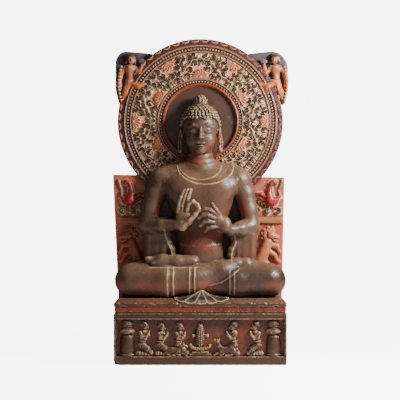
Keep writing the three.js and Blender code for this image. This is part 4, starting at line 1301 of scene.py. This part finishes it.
def lion(block, side):
    """A lion standing up on its hind legs, with a curled mane."""
    share = (BAR_FOOT - LION_FOOT) / 130
    edge = plate_edge(side, LION_FOOT + 60) - 3
    part = block.group((side * 134, 8, LION_FOOT - 24), (side * 250, PLATE_Y + 6, BAR_FOOT + 4))
    spot = spot_on(side, edge - 52 * share, PLATE_Y, LION_FOOT, share)
    stations = [
        [(14, 7, 78, 14), (4, 8, 52, 15), (-5, 7, 32, 16)],
        [(-4, 8, 30, 14), (14, 10, 16, 9), (9, 9, 2, 6.5), (24, 10, -4, 6)],
        [(-14, 6, 26, 11), (-24, 6, 6, 7.5), (-12, 6, -8, 6), (0, 7, -10, 5)],
        [(20, 9, 72, 8.5), (38, 10, 68, 7), (44, 9, 54, 6), (47, 9, 50, 6.5)],
        [(14, 9, 56, 8.5), (31, 10, 44, 7), (38, 9, 30, 6), (43, 9, 27, 6.5)],
        [(-18, 5, 34, 5), (-33, 4, 44, 4.5), (-38, 4, 68, 4.5), (-30, 4, 88, 5), (-20, 4, 94, 6.5)],
    ]
    limbs_at(part, spot, share, stations, 2)
    for i in range(8):
        angle = math.radians(62 + 30 * i)
        for reach, size, forward in ((15.5, 6.2, 8), (22.5, 5.2, 5)):
            turn = angle + (0.25 if reach > 20 else 0)
            mane = spot(21 + reach * math.cos(turn), forward, min(96 + reach * math.sin(turn), 117))
            part.add(blob(mane, np.array([size, size, size]) * share), 0.4)
    head = part.group(spot(0, 26, 74), spot(50, -4, 120))
    head.add(blob(spot(23, 11, 97), np.array([12.5, 9.5, 12]) * share))
    head.add(cone(spot(28, 12, 95), spot(40, 12, 92), 8.5 * share, 6 * share), 3)
    head.add(cone(spot(27, 11, 86), spot(38, 11, 82), 4.5 * share, 3.5 * share), 1.5)
    head.add(cone(spot(17, 12, 106), spot(14, 11, 112), 4 * share, 3 * share), 1)
    deep = (2, PLATE_Y - 4)

    def flat(*pairs):
        places = [spot(x, 0, z) for x, z in pairs]
        return trace([(p[0], p[2]) for p in places], deep)

    head.press(flat((29, 101), (32, 101)), 1.6, 2.0)
    head.press(flat((29, 88), (45, 86)), 1.5, 1.2)
    part.merge(head, 0.5)
    for i in range(4):
        part.press(flat((16 - 5 * i, 66 - 9 * i), (2 - 5 * i, 62 - 9 * i)), 0.8, 1.4)
    block.merge(part, 0.8)
    return part


def back_block(sheet):
    block = Block(
        graded((-253, 253, 1.3)),
        graded((12, PLATE_Y + 9, 1.25), (PLATE_Y + 9, BACK + 4, 6)),
        graded((SEAT_TOP - 18, BAR_FOOT - 150, 3), (BAR_FOOT - 150, HALO_Z + HALO_RADIUS + 3, 1.3)),
    )
    x, y, z = block.coordinates()
    half = np.where(x > 0, plate_edge(1, z), plate_edge(-1, z))
    top = PLATE_TOP - PLATE_TOP_DROP * (x + PLATE_TOP_WIDTH / 2) / PLATE_TOP_WIDTH
    plate = np.maximum(np.maximum(np.abs(x) - half, z - top), np.maximum(PLATE_Y - y, y - BACK))
    plate = np.maximum(plate, SEAT_TOP - 12 - z)
    plate = np.where(z < SEAT_TOP, np.maximum(plate, y - BACK + 2.5), plate)
    block.d = plate.astype(np.float32)
    bar_left, bar_right = 2 - plate_edge(-1, BAR_FOOT), plate_edge(1, BAR_FOOT) - 2
    bar = slab((bar_left, PLATE_Y - 9, BAR_FOOT), (bar_right, PLATE_Y + 6, BAR_FOOT + BAR_HEIGHT), 2.5)
    block.add(bar, 1)
    for z_line in (BAR_FOOT + 3.2, BAR_FOOT + BAR_HEIGHT - 3.2):
        block.press(trace([(bar_left, z_line), (bar_right, z_line)], (0, PLATE_Y - 5)), 0.8, 1.1)
    parts = {"crest": [], "lion": [], "attendant": []}
    for side in (-1, 1):
        parts["crest"].append(crest(block, side))
        parts["lion"].append(lion(block, side))
    # the halo's face and edge
    xs, zs = block.axes[0], block.axes[2]
    gx, gz = np.meshgrid(xs, zs, indexing="ij")
    ground = HALO_Y + 4
    face = ground - sheet.read("height", gx, gz)
    reach = np.hypot(gx, gz - HALO_Z) - HALO_RADIUS
    halo = np.maximum(face[:, None, :] - y, reach[:, None, :])
    halo = np.maximum(halo, y - BACK).astype(np.float32)
    halo_only = Block(*block.axes)
    halo_only.d = halo
    block.d = np.minimum(block.d, halo)
    for side in (-1, 1):
        lobes(block, side)
        parts["attendant"].append(attendant(block, side))
    parts["halo"] = halo_only
    block.unevenness(0.14, 23)
    block.d = np.maximum(block.d, np.maximum(np.abs(x) - PANEL_HALF, y - BACK)).astype(np.float32)
    return block, parts


# Paint, from the shape


def keep_paint(ob, base, glow, brush, line, wash_and_shade):
    keep_colours(ob, "paint", base)
    for name, values in (("glow", glow), ("brush", brush), ("line", line), ("wash_and_shade", wash_and_shade)):
        keep_numbers(ob, name, np.clip(values, 0, 1))


def mixed(a, b, share):
    share = np.asarray(share)[:, None]
    return a * (1 - share) + b * share


def paint_figure(ob, block, hand, hair):
    points, normals = corner_points(ob), corner_normals(ob)
    x, y, z = points.T
    across, up = x / UNIT, (z - SEAT_TOP) / UNIT
    small = convexity(ob, points, normals, 2)
    wide = convexity(ob, points, normals, 14)
    base = np.tile(BROWN, (len(points), 1))
    in_hair = hair.sample(points) < 1.2
    base[in_hair] = FIGURE_HAIR
    band = zone(up, 10, 24, 38, 54) * ramp(-normals[:, 1], 0.1, 0.6)
    band *= 1 - 0.7 * ramp(across, 15, 45) * (1 - 0.6 * ramp(across, 150, 190))
    forward = (PLATE_Y - y) / UNIT
    outward = np.abs(across)
    belly = zone(up, 112, 122, 178, 205) * (1 - ramp(forward, 78, 84))
    belly *= (1 - ramp(outward, 56, 66)) * ramp(-normals[:, 1], 0, 0.5)
    chest = zone(up, 195, 225, 285, 320) * zone(across, 10, 50, 78, 92)
    neck = zone(up, 350, 372, 398, 412) * (1 - ramp(outward, 44, 54))
    ears = ramp(outward, 44, 50) * zone(up, 385, 398, 440, 465)
    cheek = zone(up, 405, 418, 436, 450) * ramp(across, 8, 24)
    sleeves = zone(up, 72, 90, 150, 178) * ramp(outward, 78, 92) * (forward < 60)
    arm = zone(up, 200, 230, 300, 330) * ramp(outward, 100, 112)
    arm *= ramp(-normals[:, 0] * np.sign(across), -0.1, 0.7)
    # painted shade: the ember is weaker on the belly's left half and left off the left sleeves, the side away
    # from the light
    glow = 0.8 * band + 0.65 * belly * (0.45 + 0.55 * ramp(across, -15, 30)) + 0.25 * chest
    glow += 0.5 * neck + 0.6 * ears + 0.5 * cheek + 0.22 * sleeves * (across > 0) + 0.4 * arm
    brush = 0.18 * ramp(normals[:, 2], 0.1, 0.9) + 0.8 * ramp(small, 0.05, 0.3) + 0.3 * ramp(wide, 0.01, 0.06)
    right_knee = ramp(across, 20, 60) * (1 - ramp(up, 60, 105))
    brush *= (1 - 0.8 * right_knee) * (1 - 0.5 * ears)
    face = (up > 400) & (forward > 40) & ~in_hair
    brush = np.where(face, 0.17 * brush, brush) + np.where(in_hair, -0.1 * ramp(small, 0.05, 0.3), 0)
    brush = np.where((forward > 76) & (up > 172) & (up < 262) & (across > 3), 0.3 * brush, brush)
    raised = hand.sample(points) < 1.5
    brush = np.where(raised, 0.9 * brush + 0.08 + 0.42 * ramp(small, -0.02, 0.08), brush)
    # a dark wash in the hollows, and painted shade on the undersides and on the belly's left half and the
    # left sleeves; the raised hand's creases and the right knee are darkened too
    wash_and_shade = 0.8 * ramp(-small, 0.03, 0.25) + 0.5 * ramp(-wide, 0.01, 0.06)
    wash_and_shade += 0.5 * ramp(-normals[:, 2], 0.3, 0.9) + 0.9 * raised * ramp(-small, 0.01, 0.08)
    wash_and_shade += 0.6 * belly * ramp(-across, -60, 30) + 0.85 * right_knee + 0.5 * sleeves * (across < 0)
    keep_paint(ob, base, glow, brush, block.line_strength(points), wash_and_shade)


# places where the red band's paint is worn through: middle and half width
RED_WEAR = ((-17, 3), (50, 6), (67, 6), (123, 7), (146, 7), (174, 4), (-196, 3))


def paint_plinth(ob, block, hair_spots):
    points, normals = corner_points(ob), corner_normals(ob)
    x, y, z = points.T
    small = convexity(ob, points, normals, 2)
    wide = convexity(ob, points, normals, 10)
    base = np.tile(BLOCK_BROWN, (len(points), 1))
    red = zone(z, GROOVE_TOP - 0.4, GROOVE_TOP + 0.4, RED_TOP - 0.4, RED_TOP + 0.4)
    base = mixed(base, RED_BAND, red * (y < FRONT + 8))
    # the lip's upright face is painted a darker brown: partly its own reddish-dark colour, partly painted
    # shade of a face turned from the light
    lip = (z > RED_TOP + 0.4) & (z < LIP_TOP - 0.8) & (y < FRONT + 6)
    base[lip] = LIP_SHADE_BROWN
    for middle, half in RED_WEAR:
        away = np.abs(x - middle + 0.4 * (z - GROOVE_TOP))
        banded_darkening = (1 - ramp(away, half - 1.5, half + 1.5)) * red * (y < FRONT + 8)
        base = mixed(base, WORN_RED, 0.65 * banded_darkening)
    fan = (inside_polygon(fan_outline(), x, z) < 0.6) & (y < FRONT + 20) & (z > 163)
    for (xa, za), (xb, zb), shade in zip(FAN_POINTS, FAN_POINTS[1:], FAN_SHADES):
        wedge = fan & (inside_polygon([FAN_APEX, (xa, za - 5), (xb, zb - 5)], x, z) < 0.8)
        base[wedge] = shade
    frieze = (z > FRIEZE_FLOOR) & (z < FRIEZE_TOP) & (y > GROUND_Y - 1.5) & (y < GROUND_Y + 3)
    glow = np.where(frieze, 0.65, 0.1) + 0.3 * ((z > LIP_TOP) & ~fan) + 0.15 * lip
    glow = np.where(red > 0.5, 0, glow)
    glow = np.where(fan, 0, glow) * ramp(-normals[:, 1], -0.2, 0.4)
    brush = 1.15 * ramp(small, 0.04, 0.18) + 0.16 * ramp(normals[:, 2], 0.3, 0.9)
    brush = np.where(np.abs(np.abs(x) - FRIEZE_HALF) < 4, 0.3 * brush, brush)
    brush = np.where(fan, 0.15 * brush, brush)
    # a dark wash in the hollows, partly real wash and partly painted shade in the recesses
    wash_and_shade = 1.0 * ramp(-small, 0.02, 0.16) + 0.75 * ramp(-wide, 0.004, 0.045)
    for middle, radius in hair_spots:
        hair = np.hypot(x - middle[0], z - middle[2]) < radius
        hair &= (z > middle[2] - 4) & (y < GROUND_Y - 2)
        base[hair] = FRIEZE_HAIR
        brush = np.where(hair, 0.45 * brush, brush)
    # a flat darkening set by height: 0.32 on the bevel, 0.45 on the lip, 0.3 on the upper block, a little on
    # the frieze floor, and more on the right of the red band
    banded_darkening = np.where(z > LIP_TOP, 0.32, np.where(z > RED_TOP, 0.45, 0.12 + 0.16 * (x > 40)))
    banded_darkening = np.where((z < BLOCK_TOP) & (z > FRIEZE_TOP), 0.3, np.where(z < FRIEZE_FLOOR + 1, 0.12, banded_darkening))
    wash_and_shade = np.maximum(wash_and_shade, np.where(frieze | fan | ((z > FRIEZE_FLOOR + 1) & (z < FRIEZE_TOP)), 0, banded_darkening))
    # painted shade: the groove above the block is washed nearly black
    wash_and_shade = np.maximum(wash_and_shade, np.where((z > BLOCK_TOP) & (z < GROOVE_TOP), 0.9, 0))
    keep_paint(ob, base, glow, brush, block.line_strength(points), wash_and_shade)


def paint_back(ob, block, parts, sheet):
    points, normals = corner_points(ob), corner_normals(ob)
    x, y, z = points.T
    small = convexity(ob, points, normals, 1)
    wide = convexity(ob, points, normals, 8)
    front = y < PLATE_Y + 3
    base = np.tile(mixed(PLATE_PINK[None], BROWN, [0.1])[0], (len(points), 1))
    base[~front] = BROWN
    glow = np.where(front, 0.25, 0.1)
    line = block.line_strength(points)
    for bird, leaves, beads, strip in parts["crest"]:
        for shape, colour in ((bird, CREST), (leaves, LEAF_GREEN), (beads, LEAF), (strip, OCHRE)):
            near = shape.sample(points)
            hit = near < 0.9
            base[hit] = colour
            if shape is bird or shape is leaves:
                edge = np.exp(-((near - 1.6) ** 2)) * (y > PLATE_Y - 3.5) * (near < 3.5)
                line = np.maximum(line, 0.95 * edge)
    # each lion takes its side's colour: the left one is a darker copy, painted shade
    for shape, colour in zip(parts["lion"], LIONS_SHADED_LEFT):
        near = shape.sample(points)
        base[near < 1.2] = colour
        edge = np.exp(-((near - 1.4) ** 2)) * (y > PLATE_Y - 4) * (near < 3.5)
        line = np.maximum(line, 0.3 * edge)
    bar = (np.abs(z - BAR_FOOT - BAR_HEIGHT / 2) < BAR_HEIGHT / 2 + 0.5) & (y < PLATE_Y - 1)
    # each half of the bar takes its side's colour: the left one is a darker copy, painted shade
    for side, colour in zip((-1, 1), BARS_SHADED_LEFT):
        base[bar & (side * x >= 0)] = colour
    # painted shadow: the plate is painted dark behind the figure, where the gaps beside the arms lie in shade
    painted_shadow_behind_figure = front & (z > SEAT_TOP) & (z < PLATE_TOP) & (np.abs(x + 4) < 152)
    base[painted_shadow_behind_figure] = PLATE_PAINTED_SHADOW
    halo_near = parts["halo"].sample(points)
    on_halo = (halo_near < 0.8) & (np.hypot(x, z - HALO_Z) < HALO_RADIUS + 1) & (y < PLATE_Y + 2)
    base[on_halo] = sheet.read("tint", x[on_halo], z[on_halo])
    line[on_halo] = sheet.read("line", x[on_halo], z[on_halo])
    glow[on_halo] = 0.12 + sheet.read("glow", x[on_halo], z[on_halo])
    on_lobe = ~on_halo & (z > LOBE_FOOT - 1) & (np.abs(x) > 0.5 * HALO_RADIUS) & (y < LOBE_Y + 4)
    base[on_lobe] = mixed(SLATE[None], BROWN, [0.2])[0]
    glow[on_lobe] = 0.05
    for side, shape in zip((-1, 1), parts["attendant"]):
        hit = shape.sample(points) < 1.1
        base[hit] = SKIN
        glow[hit] = 0.24
        line[hit] = np.minimum(line[hit], block.line_strength(points[hit]))
        px, pz = side * x - attendant_x(side), z - ATTENDANT_FOOT
        face_here = (((px - 2) / 8.5) ** 2 + ((pz - 109) / 10.5) ** 2 < 1) & (normals[:, 1] < -0.2)
        hair = hit & (pz > 100) & (np.abs(px - 5) < 19) & ~face_here
        base[hit & (pz < 50)] = SKIRT
        base[hair] = ATTENDANT_HAIR
        glow[hair] = 0.03
        base[hit & (pz > 98) & (px < -18)] = SLATE
    brush = 0.5 * ramp(small, 0.05, 0.3) + 0.12 * ramp(normals[:, 2], 0.2, 0.9)
    brush[on_halo] *= 1 - 0.8 * sheet.read("calm", x[on_halo], z[on_halo])
    # a dark wash in the hollows, partly painted shade in the recesses
    wash_and_shade = 0.95 * ramp(-small, 0.02, 0.2) + 0.5 * ramp(-wide, 0.01, 0.07)
    # painted shade: towards the left, the side away from the light, the halo is washed darker and rubbed with
    # less tan
    wash_and_shade[on_halo] *= 0.85 + 0.15 * ramp(-x[on_halo], -20, 160)
    wash_and_shade[on_halo] += 0.16 * ramp(-x[on_halo], 20, 190)
    brush[on_halo] *= 0.6 - 0.2 * ramp(-x[on_halo], -20, 150)
    # inside that painted shadow the wash is set flat and there is no ember
    wash_and_shade = np.where(painted_shadow_behind_figure, 0.3, wash_and_shade)
    glow = np.where(painted_shadow_behind_figure, 0, glow)
    away = np.hypot(x, z - HALO_Z)
    edge = (away > HALO_RADIUS - 2.5) & on_halo
    base[edge] = RIM
    glow[edge] = 0.02
    rim = on_halo & (away > BORDER_OUTER + 2)
    brush[rim] *= 0.4
    # painted shade: the rim's paint darkens towards the right, where the key light's sheen falls on its edge
    base[rim] *= (1.1 - 0.5 * ramp(x[rim], 60, 215))[:, None]
    # the carved beasts and attendants get a stronger dark wash in their hollows, partly painted shade
    for shape in (*parts["attendant"], *parts["lion"]):
        carved = (shape.sample(points) < 1.1) & front
        wash_and_shade[carved] = 0.9 * ramp(-small[carved], 0.0, 0.1) + 0.5 * ramp(-wide[carved], 0.0, 0.05)
        brush[carved] *= 1.7
    keep_paint(ob, base, glow, brush, line, wash_and_shade)


def painted_stone():
    """Opaque paint over red-orange, darkened by a wash in the hollows and by painted shade in recesses, under
    overhangs and on the side away from the light, and rubbed with tan on the raised parts.
    """
    mat = bpy.data.materials.new("painted_stone")
    mat.use_nodes = True
    tree = mat.node_tree
    shader = tree.nodes["Principled BSDF"]
    place = tree.nodes.new("ShaderNodeTexCoord").outputs["Object"]

    def node(kind, **values):
        made = tree.nodes.new(kind)
        for name, value in values.items():
            setattr(made, name, value)
        return made

    def attribute(name, output="Fac"):
        return node("ShaderNodeAttribute", attribute_name=name).outputs[output]

    def noise(scale, detail=3.0, rough=0.55):
        made = node("ShaderNodeTexNoise")
        made.inputs["Scale"].default_value = scale
        made.inputs["Detail"].default_value = detail
        made.inputs["Roughness"].default_value = rough
        tree.links.new(place, made.inputs["Vector"])
        return made.outputs["Fac"]

    def remap(value, low, high, to_low=0.0, to_high=1.0):
        made = node("ShaderNodeMapRange", interpolation_type="SMOOTHSTEP")
        for key, number in (("From Min", low), ("From Max", high), ("To Min", to_low), ("To Max", to_high)):
            made.inputs[key].default_value = number
        tree.links.new(value, made.inputs["Value"])
        return made.outputs["Result"]

    def times(a, b):
        made = node("ShaderNodeMath", operation="MULTIPLY", use_clamp=True)
        tree.links.new(a, made.inputs[0])
        tree.links.new(b, made.inputs[1])
        return made.outputs[0]

    def mix(factor, a, b):
        made = node("ShaderNodeMix", data_type="RGBA")
        tree.links.new(factor, made.inputs["Factor"])
        for socket, value in ((6, a), (7, b)):
            if isinstance(value, np.ndarray):
                made.inputs[socket].default_value = (*value, 1)
            else:
                tree.links.new(value, made.inputs[socket])
        return made.outputs[2]

    blotches = noise(14, 4)
    speckle = noise(150, 3, 0.65)
    strokes = noise(46, 4, 0.6)
    colour = attribute("paint", "Color")
    # the dark layer: a real wash in the hollows, and painted shade in recesses, under overhangs and on the
    # side away from the light
    colour = mix(times(attribute("wash_and_shade"), remap(strokes, 0.3, 0.62, 0.5, 1.0)), colour, DARK_WASH_AND_SHADE)
    ember = mix(remap(strokes, 0.3, 0.7), DARK_EMBER, EMBER)
    colour = mix(times(attribute("glow"), remap(blotches, 0.36, 0.6, 0.25, 1.0)), colour, ember)
    colour = mix(times(attribute("brush"), remap(speckle, 0.34, 0.62, 0.25, 1.0)), colour, TAN)
    colour = mix(times(attribute("line"), remap(speckle, 0.3, 0.55, 0.55, 1.0)), colour, PALE)
    tree.links.new(colour, shader.inputs["Base Color"])
    tree.links.new(remap(strokes, 0.3, 0.7, 0.3, 0.48), shader.inputs["Roughness"])
    shader.inputs["Specular IOR Level"].default_value = 0.45
    bump = node("ShaderNodeBump")
    bump.inputs["Strength"].default_value = 0.35
    bump.inputs["Distance"].default_value = 0.001
    tree.links.new(noise(320, 4, 0.6), bump.inputs["Height"])
    tree.links.new(bump.outputs["Normal"], shader.inputs["Normal"])
    return mat


# The pieces

STONE = painted_stone()


def piece(name, block):
    points, quads = surface_net(block)
    ob = thinned(mesh_object(name, points, quads))
    ob.data.materials.append(STONE)
    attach(ob, "root")
    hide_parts(NODE)
    return ob


figure, hand_field, hair_field = figure_block()
paint_figure(piece("seated_figure", figure), figure, hand_field, hair_field)
plinth, frieze_hair = plinth_block()
paint_plinth(piece("plinth_and_frieze", plinth), plinth, frieze_hair)
halo = halo_sheet()
back, back_parts = back_block(halo)
paint_back(piece("throne_back_and_halo", back), back, back_parts, halo)

# The floor, the lights and the camera

SCALE_AT_FRONT = 2.72
CAMERA_DISTANCE = 3100.0
CAMERA_HEIGHT = 450.0
IMAGE_SIDE = 400
MIDDLE_PIXEL = 200.3

camera_data = bpy.data.cameras.new("camera")
camera_data.sensor_width = 36.0
half_view = SCALE_AT_FRONT * IMAGE_SIDE / 2
camera_data.lens = 18.0 * CAMERA_DISTANCE / half_view
camera = bpy.data.objects.new("camera", camera_data)
camera.location = (
    (IMAGE_SIDE / 2 - MIDDLE_PIXEL) * SCALE_AT_FRONT * MM,
    (FRONT - CAMERA_DISTANCE) * MM,
    CAMERA_HEIGHT * MM,
)
camera.rotation_euler = (math.pi / 2, 0, 0)
bpy.context.collection.objects.link(camera)
bpy.context.scene.camera = camera

FLOOR_HALF = 40.0
floor_mesh = bpy.data.meshes.new("floor")
floor_corners = [(FLOOR_HALF * x, FLOOR_HALF * y, 0) for x, y in ((-1, -1), (1, -1), (1, 1), (-1, 1))]
floor_mesh.from_pydata(floor_corners, [], [(0, 1, 2, 3)])
floor = bpy.data.objects.new("floor", floor_mesh)
bpy.context.collection.objects.link(floor)


def soft_light(name, place, target, size, power, colour=(1, 1, 1)):
    data = bpy.data.lights.new(name, "AREA")
    data.shape = "DISK"
    data.size = size
    data.energy = power
    data.color = colour
    ob = bpy.data.objects.new(name, data)
    ob.location = place
    ob.rotation_euler = (Vector(target) - Vector(place)).to_track_quat("-Z", "Y").to_euler()
    bpy.context.collection.objects.link(ob)


soft_light("key", (0.9, -0.55, 0.98), (0, 0, 0.58), 0.4, 40, (1.0, 0.96, 0.92))
soft_light("fill", (0.3, -3.4, 0.7), (0, 0, 0.45), 2.0, 5)

SEEN_WHITE = 6.5
ROOM_LIGHT = 0.12


def by_ray(tree, other, seen):
    """One shader as the camera sees it, and another for all other rays."""
    ray = tree.nodes.new("ShaderNodeLightPath")
    choose = tree.nodes.new("ShaderNodeMixShader")
    tree.links.new(ray.outputs["Is Camera Ray"], choose.inputs["Fac"])
    tree.links.new(other.outputs[0], choose.inputs[1])
    tree.links.new(seen.outputs[0], choose.inputs[2])
    return choose.outputs["Shader"]


world = bpy.data.worlds.new("world")
world.use_nodes = True
tree = world.node_tree
seen_white = tree.nodes["Background"]
seen_white.inputs["Color"].default_value = (1, 1, 1, 1)
seen_white.inputs["Strength"].default_value = SEEN_WHITE
room = tree.nodes.new("ShaderNodeBackground")
room.inputs["Color"].default_value = (1, 1, 1, 1)
room.inputs["Strength"].default_value = ROOM_LIGHT
tree.links.new(by_ray(tree, room, seen_white), tree.nodes["World Output"].inputs["Surface"])
bpy.context.scene.world = world

floor_paint = bpy.data.materials.new("floor")
floor_paint.use_nodes = True
tree = floor_paint.node_tree
matt = tree.nodes["Principled BSDF"]
matt.inputs["Base Color"].default_value = (0.9, 0.9, 0.9, 1)
matt.inputs["Roughness"].default_value = 0.9
bright = tree.nodes.new("ShaderNodeEmission")
bright.inputs["Strength"].default_value = SEEN_WHITE
unlit = tree.nodes.new("ShaderNodeEmission")
unlit.inputs["Strength"].default_value = 0.0
both = tree.nodes.new("ShaderNodeAddShader")
tree.links.new(matt.outputs["BSDF"], both.inputs[0])
tree.links.new(by_ray(tree, unlit, bright), both.inputs[1])
tree.links.new(both.outputs["Shader"], tree.nodes["Material Output"].inputs["Surface"])
floor.data.materials.append(floor_paint)
